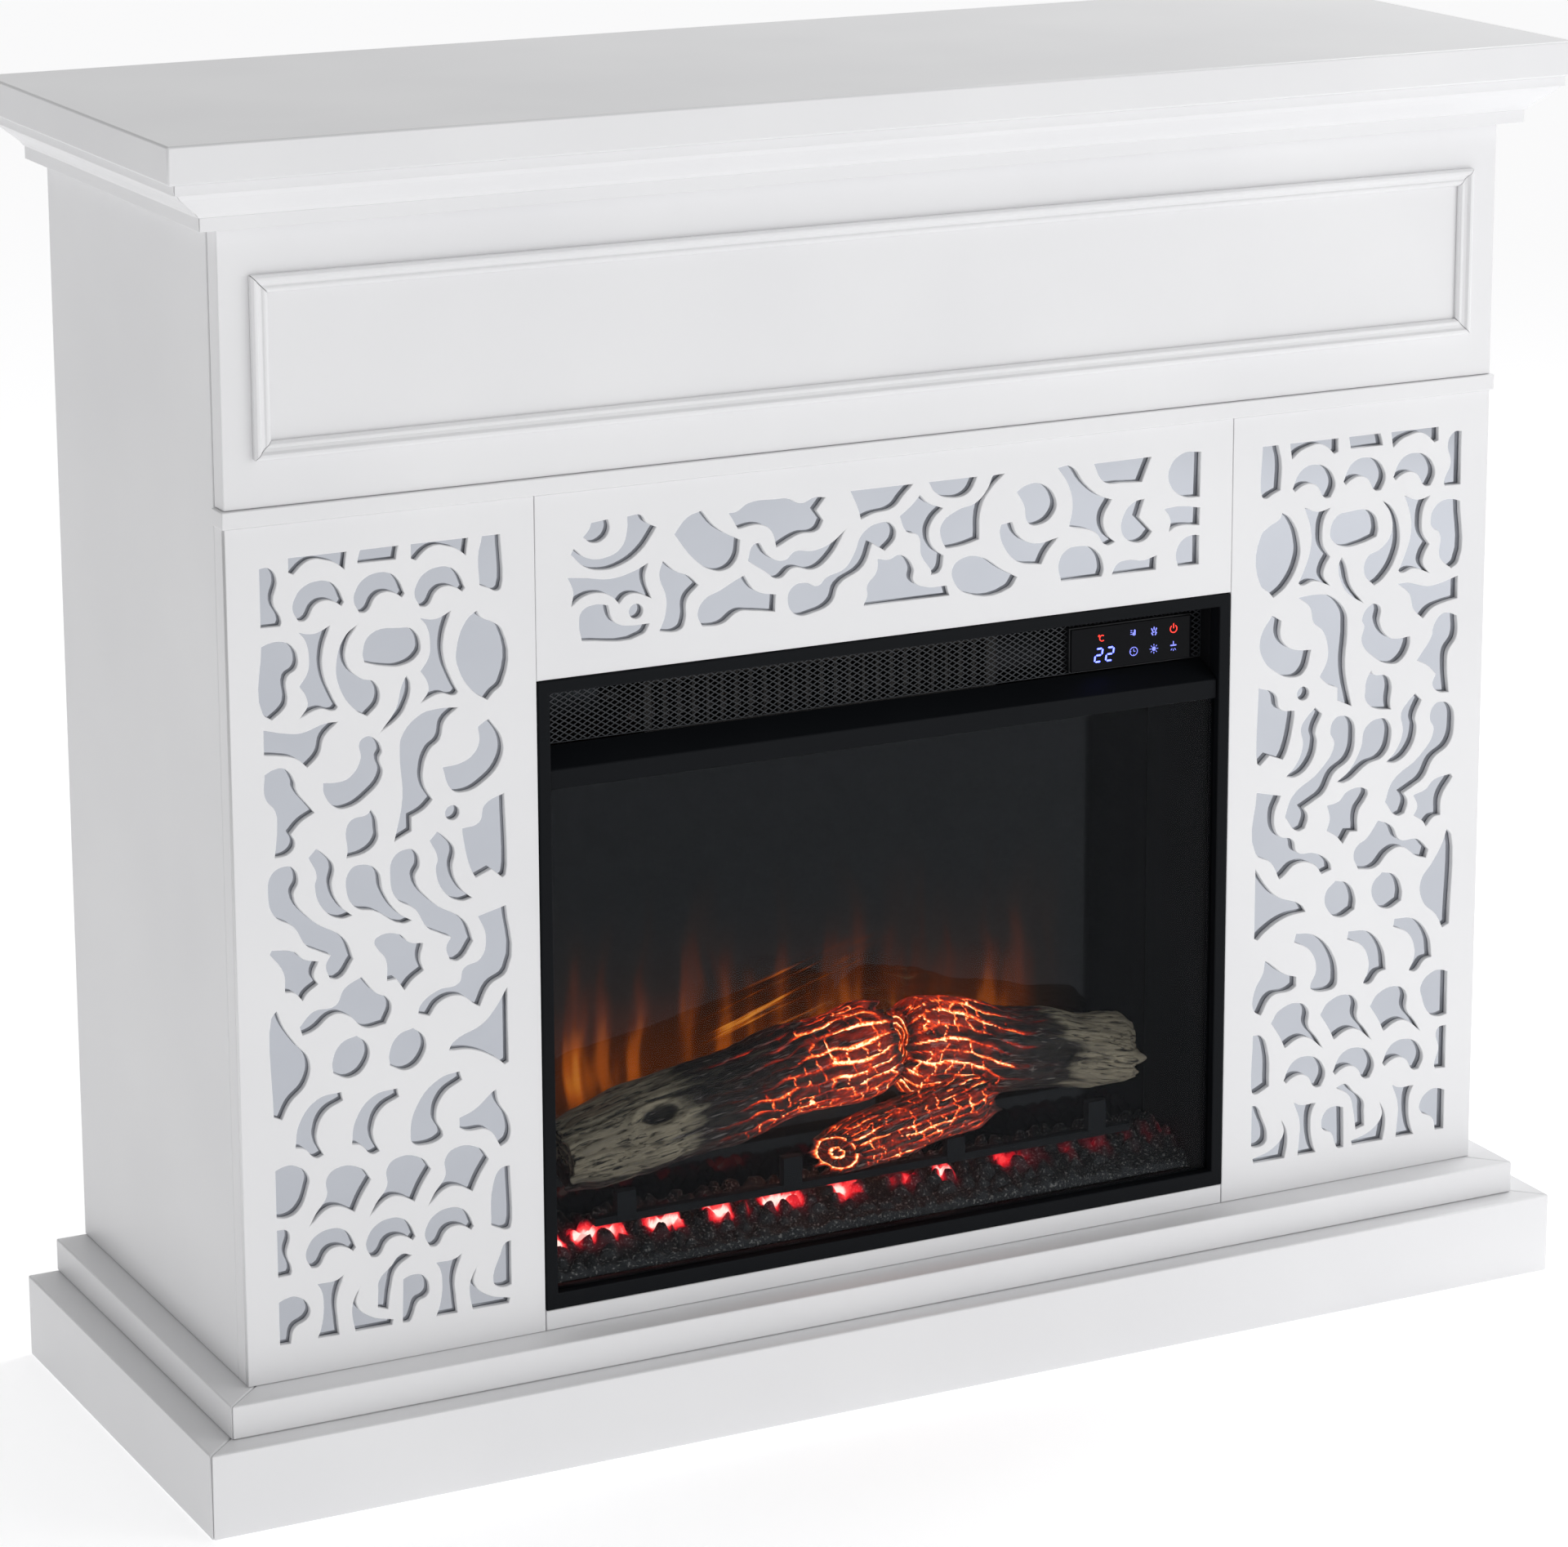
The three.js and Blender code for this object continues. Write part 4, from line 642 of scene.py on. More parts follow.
def lit_mark(name, core, strength):
    material = new_finish(name)
    place = add_node(material, "TexCoord").outputs["Object"]
    spread = add_node(material, "TexNoise", {"Vector": place, "Scale": 900.0})
    level = add_node(material, "MapRange", {
        "Value": spread.outputs["Fac"], "To Min": strength * 0.8, "To Max": strength * 1.2,
    })
    shader = add_node(material, "BsdfPrincipled", {
        "Base Color": colour("#0A0B10"), "Emission Color": colour(core),
        "Emission Strength": level.outputs[0], "Roughness": 0.2,
    })
    return surface_of(material, shader.outputs[0])


digit_blue = lit_mark("Backlit_blue_digit", "#5560FF", 6.0)
icon_blue = lit_mark("Backlit_pale_blue_icon", "#7C84F2", 1.6)
sign_red = lit_mark("Backlit_red_sign", "#FF3020", 2.2)

# Segment places in a digit 5 wide and 9 high: top, middle, bottom, then the four uprights.
SEGMENT = {
    "a": ((0, 4.5), 0), "g": ((0, 0), 0), "d": ((0, -4.5), 0),
    "b": ((2.5, 2.25), 1), "f": ((-2.5, 2.25), 1), "c": ((2.5, -2.25), 1), "e": ((-2.5, -2.25), 1),
}
LIT = {"2": "abged"}


def number(text):
    def draw(shape):
        for i, character in enumerate(text):
            for segment in LIT[character]:
                (x, z), upright = SEGMENT[segment]
                bar_mark(
                    shape, ((1.2 * x + 10 * (i - 0.5)) * MM, 1.15 * z * MM), 4.6 * MM, 1.35 * MM,
                    math.pi / 2 if upright else 0.0, 0.14,
                )
    return draw


def degree(shape):
    arc_mark(shape, (0, 0), 0.55 * MM, 0.4 * MM)
    bmesh.ops.translate(shape, verts=shape.verts, vec=(-2.3 * MM, 0, 1.6 * MM))
    before = set(shape.verts)
    arc_mark(shape, (0, 0), 1.9 * MM, 0.6 * MM, math.radians(50), math.radians(260))
    return before


def power(shape):
    arc_mark(shape, (0, 0), 2.4 * MM, 0.6 * MM, math.radians(125), math.radians(290))
    bar_mark(shape, (0, 1.9 * MM), 3.4 * MM, 0.7 * MM, math.pi / 2)


def clock(shape):
    arc_mark(shape, (0, 0), 2.7 * MM, 0.45 * MM)
    bar_mark(shape, (0, 0.8 * MM), 1.8 * MM, 0.4 * MM, math.pi / 2)
    bar_mark(shape, (0.6 * MM, 0), 1.4 * MM, 0.4 * MM)
    bar_mark(shape, (-2.1 * MM, 0), 0.9 * MM, 0.4 * MM)
    bar_mark(shape, (0, -2.1 * MM), 0.9 * MM, 0.4 * MM, math.pi / 2)


def sun(shape):
    arc_mark(shape, (0, 0), 0.7 * MM, 1.3 * MM)
    for i in range(8):
        turn = i * math.pi / 4
        reach = 2.5 * MM
        bar_mark(shape, (reach * math.cos(turn), reach * math.sin(turn)), 1.3 * MM, 0.4 * MM, turn)


def downlight(shape):
    bar_mark(shape, (0, 2.2 * MM), 2.2 * MM, 0.6 * MM, math.pi / 2)
    bar_mark(shape, (0, 0.6 * MM), 4.6 * MM, 0.9 * MM)
    for i in (-1, 0, 1):
        turn = -math.pi / 2 + 0.6 * i
        reach = 2.4 * MM
        bar_mark(shape, (reach * math.cos(turn), reach * math.sin(turn)), 1.5 * MM, 0.4 * MM, turn)


def thermometer(shape):
    bar_mark(shape, (0.6 * MM, 0.9 * MM), 4.0 * MM, 1.2 * MM, math.pi / 2)
    arc_mark(shape, (0, 0), 0.55 * MM, 1.0 * MM)
    for i in range(3):
        bar_mark(shape, (-1.8 * MM, (2.4 - 1.2 * i) * MM), 1.5 * MM, 0.4 * MM)


def flame_icon(shape):
    for side in (-1, 1):
        bar_mark(shape, (side * 1.2 * MM, 0.6 * MM), 3.6 * MM, 0.8 * MM, math.pi / 2 - side * 0.45)
        bar_mark(shape, (side * 1.3 * MM, -1.6 * MM), 2.4 * MM, 0.8 * MM, side * 1.0)
    bar_mark(shape, (0, 1.9 * MM), 2.2 * MM, 0.8 * MM, math.pi / 2)


centre_z = (low.z + high.z) / 2
upper_row, lower_row = centre_z + 7.6 * MM, centre_z - 6.4 * MM
left_column = low.x + 30.5 * MM
columns = [left_column + step * MM for step in (25.5, 43.8, 61.5)]
placed_mark("display_number", number("22"), (left_column - 1.0 * MM, lower_row + 0.6 * MM), digit_blue)
placed_mark("display_degree", degree, (left_column - 3.0 * MM, upper_row), sign_red, 1.2)
for name, draw, x, z, light in (
    ("thermometer", thermometer, columns[0], upper_row, icon_blue),
    ("flame", flame_icon, columns[1], upper_row, icon_blue),
    ("power", power, columns[2], upper_row, sign_red),
    ("clock", clock, columns[0], lower_row, icon_blue),
    ("sun", sun, columns[1], lower_row, icon_blue),
    ("downlight", downlight, columns[2], lower_row, icon_blue),
):
    placed_mark("display_" + name, draw, (x, z), light, 1.25)
eased("control_lens", 0.4 * MM, gloss_black, "acrylic")
eased("control_housing", 0.4 * MM, black_abs, "moulded")
print("display marks placed")

# %% [markdown]
# ## Logs
# The logs are cast resin, painted like weathered bark at the outer ends and like glowing char
# in the middle. Charred wood splits into blocks: long furrows along the grain, and short cross
# cracks between them, which is a brick pattern bent by the grain. Painted resin shows the same
# relief, and lamps shine out of the cracks. Each log starts as a profile spun round its axis,
# fine enough to carry cracks 1.5 mm wide, and its points are then pushed in and out. The depth
# of a crack is kept as the attribute "glow", so light and relief always match.

# %% Log helpers
FURROW = 8.5 * MM  # between long furrows
BLOCK = 12 * MM  # between cross cracks
CRACK = 1.9 * MM  # half the width of a glowing crack


def smooth_step(low, high, value):
    t = min(1.0, max(0.0, (value - low) / (high - low)))
    return t * t * (3 - 2 * t)


def wave(x, y, z=0.0):
    return noise.noise(Vector((x, y, z)))


def crack_depth(s, t, seed, heat):
    """How deep in a crack a point is, from 0 to 1, for a place s along the grain and t round it.
    Long furrows are everywhere; short cracks join them where the wood burnt hottest."""
    bend = 1.1 * wave(s / 0.07, t / 0.05, seed) + 0.35 * wave(s / 0.018, t / 0.02, seed + 7)
    row_place = t / FURROW + bend
    row = math.floor(row_place)
    to_furrow = min(row_place - row, row + 1 - row_place) * FURROW
    wide = CRACK * (0.7 + 0.9 * wave(s / 0.03, t / 0.02, seed + 5))
    long_crack = 1 - smooth_step(0.2 * wide, 1.15 * wide, to_furrow)
    long_crack *= 0.45 + 0.55 * smooth_step(-0.2, 0.15, wave(s / 0.045, round(row_place) * 2.7, seed))
    stretch = 0.75 + 0.6 * (0.5 + 0.5 * wave(row * 5.1, seed + 3))
    cross_place = s / (BLOCK * stretch) + 2.5 * wave(row * 3.7, seed * 1.3)
    cross_place += 0.45 * wave(s / 0.01, t / 0.006, seed + 11)
    to_cross = abs(cross_place - round(cross_place)) * BLOCK * stretch
    kept = smooth_step(-0.30, 0.10, wave(round(cross_place) * 2.3, row * 1.9, seed + 41))
    cross = kept * (1 - smooth_step(0.15 * wide, 0.85 * wide, to_cross))
    return max(long_crack, 0.9 * cross * smooth_step(0.30, 0.65, heat))


def radius_at(stations, u):
    for (a0, r0), (a1, r1) in zip(stations, stations[1:]):
        if u <= a1:
            t = smooth_step(a0, a1, u)
            return r0 + (r1 - r0) * t
    return stations[-1][1]


def spun_log(length, stations, grain_step, round_steps):
    shape = bmesh.new()
    rings = math.ceil(length / grain_step)
    profile = [(length * i / rings, radius_at(stations, i / rings)) for i in range(rings + 1)]
    first, last = profile[0][1], profile[-1][1]
    caps = math.ceil(first / grain_step)
    start = [(0.0, first * i / caps) for i in range(caps)]
    caps = math.ceil(last / grain_step)
    end = [(length, last * (1 - i / caps)) for i in range(1, caps + 1)]
    points = [shape.verts.new((x, 0, r)) for x, r in start + profile + end]
    for a, b in zip(points, points[1:]):
        shape.edges.new((a, b))
    bmesh.ops.spin(
        shape, geom=shape.verts[:] + shape.edges[:], cent=(0, 0, 0), axis=(1, 0, 0),
        angle=2 * math.pi, steps=round_steps, use_merge=True, use_duplicate=False,
    )
    bmesh.ops.remove_doubles(shape, verts=shape.verts, dist=0.02 * MM)
    bmesh.ops.recalc_face_normals(shape, faces=shape.faces)
    return shape


print("log helpers ready")

# %% [markdown]
# ## Painted resin
# The material reads four marks on the log: "glow" for how deep in a crack a point is, "char"
# for how burnt it is, "groove_shade_and_rings" for painted shade in the grooves of the bark and for
# the darker rings of the end grain, and "grain", its place along and across the log, so that bark
# streaks follow the wood. Weathered wood is beige-grey with dark streaks. Char is nearly black
# with grey ash on the high spots. Light in a crack is yellow-white at its bottom, then orange, and
# a dull red at its rim.

# %% Painted resin
def painted_resin(name, strength):
    material = new_finish(name)
    grain = add_node(material, "Attribute", attribute_name="grain").outputs["Vector"]
    glow = add_node(material, "Attribute", attribute_name="glow").outputs["Fac"]
    char = add_node(material, "Attribute", attribute_name="char").outputs["Fac"]
    along = add_node(material, "Mapping", {"Vector": grain, "Scale": (0.12, 1.0, 1.0)})
    streaks = add_node(material, "TexNoise", {
        "Vector": along.outputs[0], "Scale": 1 / (3.0 * MM), "Detail": 4.0, "Roughness": 0.65,
    })
    flecks = add_node(material, "TexNoise", {"Vector": grain, "Scale": 1 / (2.2 * MM), "Detail": 3.0})
    patches = add_node(material, "TexNoise", {"Vector": grain, "Scale": 1 / (25 * MM), "Detail": 2.0})
    pale = add_node(material, "Mix", {
        0: patches.outputs["Fac"], 6: colour("#D0C09F"), 7: colour("#9A8C76"),
    }, data_type="RGBA")
    dark_streak = add_node(material, "MapRange", {
        "Value": streaks.outputs["Fac"], "From Min": 0.50, "From Max": 0.36,
    })
    weathered = add_node(material, "Mix", {
        0: dark_streak.outputs[0], 6: pale.outputs[2], 7: colour("#2C2722"),
    }, data_type="RGBA")
    ash = add_node(material, "MapRange", {
        "Value": streaks.outputs["Fac"], "From Min": 0.57, "From Max": 0.66,
    })
    burnt = add_node(material, "Mix", {
        0: ash.outputs[0], 6: colour("#1A1311"), 7: colour("#857A72"),
    }, data_type="RGBA")
    # painted shade that darkens the grooves of the bark, and the darker rings of the end grain
    groove_shade_and_rings = add_node(material, "Attribute", attribute_name="groove_shade_and_rings").outputs["Fac"]
    deep = add_node(material, "Math", {0: groove_shade_and_rings, 1: 0.85}, operation="MULTIPLY")
    grooved = add_node(material, "Mix", {
        0: deep.outputs[0], 6: weathered.outputs[2], 7: colour("#231E1A"),
    }, data_type="RGBA")
    ragged = add_node(material, "Math", {0: streaks.outputs["Fac"], 1: 0.5}, operation="SUBTRACT")
    ragged = add_node(material, "Math", {0: ragged.outputs[0], 1: 2.5, 2: char}, operation="MULTIPLY_ADD")
    ragged.use_clamp = True
    wood = add_node(material, "Mix", {
        0: ragged.outputs[0], 6: grooved.outputs[2], 7: burnt.outputs[2],
    }, data_type="RGBA")
    wobble = add_node(material, "MapRange", {
        "Value": flecks.outputs["Fac"], "From Min": 0.3, "From Max": 0.7,
        "To Min": 0.55, "To Max": 1.25,
    })
    heat = add_node(material, "Math", {0: glow, 1: wobble.outputs[0]}, operation="MULTIPLY")
    fire = add_node(material, "ValToRGB", {0: heat.outputs[0]})
    ramp = fire.color_ramp
    for place, tint in (
        (0.10, "#180402"), (0.32, "#6E1205"), (0.50, "#DC3C0E"), (0.68, "#FF9244"), (0.88, "#FFE0AC"),
    ):
        ramp.elements.new(place).color = colour(tint)
    ramp.elements[0].color = (0, 0, 0, 1)
    ramp.elements.remove(ramp.elements[-1])
    bump = add_node(material, "Bump", {
        "Height": streaks.outputs["Fac"], "Strength": 0.8, "Distance": 1.0 * MM,
    })
    shader = add_node(material, "BsdfPrincipled", {
        "Base Color": wood.outputs[2], "Roughness": 0.8, "Normal": bump.outputs[0],
        "Emission Color": fire.outputs[0], "Emission Strength": strength,
    })
    return surface_of(material, shader.outputs[0])


glowing_resin = painted_resin("Painted_cast_resin_log", 2.6)
print(glowing_resin.name)

# %% Log maker
def make_log(name, node, start, end, stations, burnt, hot, seed, knot=None, turns=176, rings=4.6,
             slanted=0.0, lobes=0.0):
    """burnt(u, up) and hot(u, up) say how charred and how hot the log is at share u of its
    length, with up from -1 underneath to 1 on top."""
    start, end = Vector(start) * MM, Vector(end) * MM
    length = (end - start).length
    shape = spun_log(length, [(a, r * MM) for a, r in stations], 1.25 * MM, turns)
    glow = shape.verts.layers.float.new("glow")
    char = shape.verts.layers.float.new("char")
    groove_shade_and_rings = shape.verts.layers.float.new("groove_shade_and_rings")
    grain = shape.verts.layers.float_vector.new("grain")
    for v in shape.verts:
        s, r = v.co.x, math.hypot(v.co.y, v.co.z)
        turn = math.atan2(v.co.z, -v.co.y)
        u = s / length
        body = max(radius_at([(a, q * MM) for a, q in stations], u), 1 * MM)
        rim = smooth_step(0.80, 0.99, r / body)
        t = turn * 30 * MM
        burn = burnt(u, math.sin(turn)) + 0.30 * wave(s / 0.03, t / 0.02, seed + 21)
        burn += 0.50 * wave(s / 0.10, t / 0.0045, seed + 23)
        burn = min(1.0, max(0.0, burn))
        heat = hot(u, math.sin(turn)) + 0.45 * wave(s / 0.09, t / 0.006, seed + 31)
        heat = min(1.0, max(0.0, heat)) * smooth_step(0.25, 0.8, burn)
        crack = crack_depth(s, t, seed, heat)
        lit = smooth_step(0.0, 0.75, heat)
        ridge = abs(wave(s / 0.06, t / 0.0055, seed)) + 0.5 * abs(wave(s / 0.022, t / 0.003, seed + 2))
        valley = 1 - smooth_step(0.02, 0.16, ridge)
        push = 5.5 * MM * wave(s / 0.055, t / 0.03, seed + 13)
        push += (1 - burn) * MM * (3.2 * smooth_step(0.0, 0.35, ridge) - 1.6) - burn * 2.2 * MM * crack
        push += burn * 1.2 * MM * wave(s / 0.008, t / 0.0045, seed + 17)
        push += lobes * MM * math.cos(3 * turn + 0.6) * smooth_step(0.75, 1.0, u)
        if rim < 1:  # the end grain: rings, split and broken
            ring = abs((r / (rings * MM) + 0.5) % 1 - 0.5) * 2
            crack = crack * rim + (1 - rim) * smooth_step(0.62, 0.9, ring)
            valley = valley * rim + (1 - rim) * smooth_step(0.3, 0.8, ring)
            out = 1 if u > 0.5 else -1
            v.co.x += out * (2.2 * MM * wave(turn * 2, r / 0.006, seed) - 1.6 * MM * crack) * (1 - rim)
        if knot:
            (knot_u, knot_turn), (knot_long, knot_wide), depth = knot
            dx = (u - knot_u) * length / (knot_long * MM)
            dt = (turn - knot_turn) * body / (knot_wide * MM)
            far = math.hypot(dx, dt)
            push -= depth * MM * (1 - smooth_step(0.3, 1.0, far))
            push += 2.0 * MM * math.exp(-((far - 1.25) / 0.22) ** 2)
            # the knot hole takes the char colour: painted shade in its hollow
            burn = max(burn, 0.9 * (1 - smooth_step(0.5, 1.1, far)))
            lit *= smooth_step(0.8, 1.3, far)
        jag = smooth_step(0.88, 1.0, abs(2 * u - 1)) * rim
        v.co.x += jag * 9 * MM * wave(turn * 3.1, seed + 3) * (1 if u > 0.5 else -1)
        push += jag * 3.5 * MM * wave(turn * 4.3, s / 0.02, seed + 5)
        v.co.x -= slanted * v.co.y * (1 - smooth_step(0.0, 0.3, u))
        scale = (r + push * rim) / r if r > 0.1 * MM else 1.0
        v.co.y, v.co.z = v.co.y * scale, v.co.z * scale
        between = 0.06 + 0.22 * heat ** 3 + 0.22 * wave(s / 0.012, t / 0.005, seed)
        edge_dark = 1 - 0.7 * smooth_step(0.93, 0.99, abs(2 * u - 1)) * smooth_step(0.5, 0.9, rim)
        bright = 0.56 + 0.60 * heat + 0.35 * wave(s / 0.02, t / 0.012, seed + 37)
        v[glow] = min(1.0, lit * max(crack * bright, between)) * edge_dark
        v[char] = smooth_step(0.2, 0.7, burn)
        # painted shade in the bark's grooves where they are pushed in; on the end grain, the darker rings
        v[groove_shade_and_rings] = valley
        v[grain] = (s, v.co.y, v.co.z)
    for face in shape.faces:
        face.smooth = True
    aim = (end - start).to_track_quat("X", "Z").to_matrix().to_4x4()
    bmesh.ops.transform(shape, verts=shape.verts, matrix=Matrix.Translation(start) @ aim)
    piece = finish_piece(name, shape, glowing_resin, [node])
    print(name, len(piece.data.polygons), "faces", [round(c, 3) for c in piece.bound_box[6]])
    return piece


# %% Three logs
make_log(
    "log_left_resin", "log_left", (-256, -95, 205), (18, -99, 256),
    [(0, 26), (0.08, 30), (0.25, 35), (0.55, 35), (0.8, 36), (0.95, 37), (1, 33)],
    lambda u, up: max(smooth_step(0.20, 0.52, u), 0.8 * smooth_step(0.1, 0.9, -up)),
    lambda u, up: smooth_step(0.24, 0.95, u - 0.16 * up), seed=3.0,
    knot=((0.27, 0.55), (19, 8), 7.5), rings=6.0,
)
make_log(
    "log_right_resin", "log_right", (31, -94, 250), (241, -95, 209),
    [(0, 27), (0.07, 37), (0.3, 36), (0.6, 33), (0.8, 28), (0.95, 26), (1, 21)],
    lambda u, up: 1 - smooth_step(0.52, 0.82, u + 0.06 * up),
    lambda u, up: 1 - smooth_step(0.05, 0.74, u), seed=9.0,
    knot=((0.66, 0.25), (13, 8), 5.5), lobes=4.0,
)
make_log(
    "log_stub_resin", "log_stub", (-33, -119.5, 178), (100, -118, 207),
    [(0, 17), (0.08, 19.5), (0.5, 23), (0.85, 23.5), (1, 18)],
    lambda u, up: 1.0, lambda u, up: 0.72, seed=15.0, turns=130, rings=9.0, slanted=0.8,
)

# %% [markdown]
# ## Ember bed
# One moulded shell of lumps, painted as coals: matt black with grey flecks, which are partly ash
# and partly painted highlights where the glossy lumps catch the lamps. Red lamps under it shine
# through the gaps between lumps, brightest in a row behind the front ones. The lumps are the
# cells of a Voronoi pattern, each rounded up from its border, and the light keeps to the borders,
# where the shell is thin.

# %% Ember bed
def ember_bed():
    low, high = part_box("ember_bed")
    size = high - low
    step = 1.5 * MM
    shape = bmesh.new()
    bmesh.ops.create_grid(
        shape, x_segments=math.ceil(size.x / step), y_segments=math.ceil(size.y / step), size=0.5
    )
    bmesh.ops.scale(shape, verts=shape.verts, vec=(size.x - 2 * MM, size.y - 2 * MM, 1))
    middle = (low + high) / 2
    bmesh.ops.translate(shape, verts=shape.verts, vec=(middle.x, middle.y, 0))
    glow = shape.verts.layers.float.new("glow")
    rim = {v for e in shape.edges if e.is_boundary for v in e.verts}
    for v in shape.verts:
        x, y = v.co.x, v.co.y
        place = Vector((x / 0.0135, y / 0.0105, 0.3))
        near = noise.voronoi(place + 0.25 * noise.noise_vector(place))[0]
        gap = near[1] - near[0]
        lump = smooth_step(0.0, 0.55, gap)
        share = (y - low.y) / size.y
        heap = 4 * MM + 15 * MM * math.sin(min(1.0, share * 1.15) * math.pi / 2)
        rough = 1.3 * MM * wave(x / 0.004, y / 0.004) + 2.5 * MM * wave(x / 0.03, y / 0.03, 4)
        top = low.z + heap + (8 * MM * lump + rough) * min(1.0, 0.3 + 2 * share)
        v.co.z = low.z if v in rim else min(top, high.z - 0.5 * MM)
        row = math.exp(-(((y - low.y) / size.y - 0.50) / 0.14) ** 2)
        windows = smooth_step(-0.22, 0.12, wave(x / 0.017, 2.2, 7.7))
        v[glow] = row * windows * (1 - smooth_step(0.16, 0.75, gap))
        v[glow] *= 1 - 0.75 * smooth_step(0.10, 0.15, x)
    bmesh.ops.solidify(shape, geom=shape.faces[:], thickness=1.2 * MM)
    for face in shape.faces:
        face.smooth = True
    return shape


coal = new_finish("Painted_resin_coals")
coal_place = add_node(coal, "TexCoord").outputs["Object"]
coal_fleck = add_node(coal, "TexNoise", {"Vector": coal_place, "Scale": 1 / (2.0 * MM), "Detail": 4.0})
# grey flecks: partly ash, partly painted highlights where the glossy lumps would catch the lamps
coal_ash_and_glints = add_node(coal, "MapRange", {
    "Value": coal_fleck.outputs["Fac"], "From Min": 0.57, "From Max": 0.66,
})
coal_colour = add_node(coal, "Mix", {
    0: coal_ash_and_glints.outputs[0], 6: colour("#1A1919"), 7: colour("#8B8680"),
}, data_type="RGBA")
coal_glow = add_node(coal, "Attribute", attribute_name="glow").outputs["Fac"]
coal_heat = add_node(coal, "ValToRGB", {0: coal_glow})
for place, tint in ((0.22, "#3C0208"), (0.45, "#C80E1C"), (0.70, "#FF4A48"), (0.92, "#FFD2C4")):
    coal_heat.color_ramp.elements.new(place).color = colour(tint)
coal_heat.color_ramp.elements[0].color = (0, 0, 0, 1)
coal_heat.color_ramp.elements.remove(coal_heat.color_ramp.elements[-1])
coal_bump = add_node(coal, "Bump", {
    "Height": coal_fleck.outputs["Fac"], "Strength": 0.6, "Distance": 0.4 * MM,
})
surface_of(coal, add_node(coal, "BsdfPrincipled", {
    "Base Color": coal_colour.outputs[2], "Roughness": 0.55, "Normal": coal_bump.outputs[0],
    "Emission Color": coal_heat.outputs[0], "Emission Strength": 2.1,
}).outputs[0])
piece = finish_piece("ember_bed_coals", ember_bed(), coal, ["ember_bed"])
print(piece.name, len(piece.data.polygons), "faces")

# %% [markdown]
# ## Flame screen
# Behind the logs stands a dark half-mirror. It doubles the logs, and the rotor behind it throws
# moving light on its back, which shows as soft tongues. The glow of the left log, doubled in the
# mirror, is a painted reflection: a streaky oval of emitted light along the log's lean. Tongues
# are tall, so the noise is much finer across than up, and its place is bent by a second noise so
# that the tongues lean. They fade with height, quickest at the right end.

# %% Flame screen
low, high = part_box("flame_screen")
screen = new_finish("Half_mirrored_flame_screen")
spot = add_node(screen, "TexCoord").outputs["Object"]
axes = add_node(screen, "SeparateXYZ", {0: spot})
sway = add_node(screen, "TexNoise", {"Vector": spot, "Scale": 12.0, "Detail": 1.0})
lean = add_node(screen, "Mapping", {"Vector": spot, "Scale": (1.0, 1.0, 0.16)})
bent = add_node(screen, "VectorMath", {
    0: lean.outputs[0], 1: add_node(screen, "VectorMath", {
        0: sway.outputs["Color"], 1: (0.03, 0.0, 0.0),
    }, operation="MULTIPLY").outputs[0],
}, operation="ADD")
tongues = add_node(screen, "TexNoise", {
    "Vector": bent.outputs[0], "Scale": 42.0, "Detail": 2.0, "Roughness": 0.5,
})
tongue = add_node(screen, "MapRange", {
    "Value": tongues.outputs["Fac"], "From Min": 0.42, "From Max": 0.72,
}, interpolation_type="SMOOTHSTEP")
height = add_node(screen, "MapRange", {
    "Value": axes.outputs[2], "From Min": 0.24, "From Max": 0.41, "To Min": 1.0, "To Max": 0.0,
}, interpolation_type="SMOOTHSTEP")
left_end = add_node(screen, "MapRange", {
    "Value": axes.outputs[0], "From Min": low.x + 0.01, "From Max": low.x + 0.07,
}, interpolation_type="SMOOTHSTEP")
right_end = add_node(screen, "MapRange", {
    "Value": axes.outputs[0], "From Min": 0.23, "From Max": 0.12,
}, interpolation_type="SMOOTHSTEP")
over_bed = add_node(screen, "MapRange", {
    "Value": axes.outputs[2], "From Min": 0.165, "From Max": 0.25,
}, interpolation_type="SMOOTHSTEP")
corner = add_node(screen, "VectorMath", {
    0: spot, 1: (low.x + 0.035, 0.0, 0.235),
}, operation="SUBTRACT")
corner = add_node(screen, "VectorMath", {0: corner.outputs[0], 1: (1.0, 0.0, 0.55)}, operation="MULTIPLY")
corner = add_node(screen, "VectorMath", {0: corner.outputs[0]}, operation="LENGTH")
flare = add_node(screen, "MapRange", {
    "Value": corner.outputs[1], "From Min": 0.01, "From Max": 0.05, "To Min": 1.0, "To Max": 0.0,
}, interpolation_type="SMOOTHSTEP")
strong = add_node(screen, "MapRange", {"Value": flare.outputs[0], "To Min": 0.34, "To Max": 1.0})
lit = tongue.outputs[0]
for share in (height, over_bed, left_end, right_end, strong):
    lit = add_node(screen, "Math", {0: lit, 1: share.outputs[0]}, operation="MULTIPLY").outputs[0]
haze = height.outputs[0]
for share in (height, over_bed, right_end):
    haze = add_node(screen, "Math", {0: haze, 1: share.outputs[0]}, operation="MULTIPLY").outputs[0]
haze = add_node(screen, "Math", {0: haze, 1: 0.24}, operation="MULTIPLY")
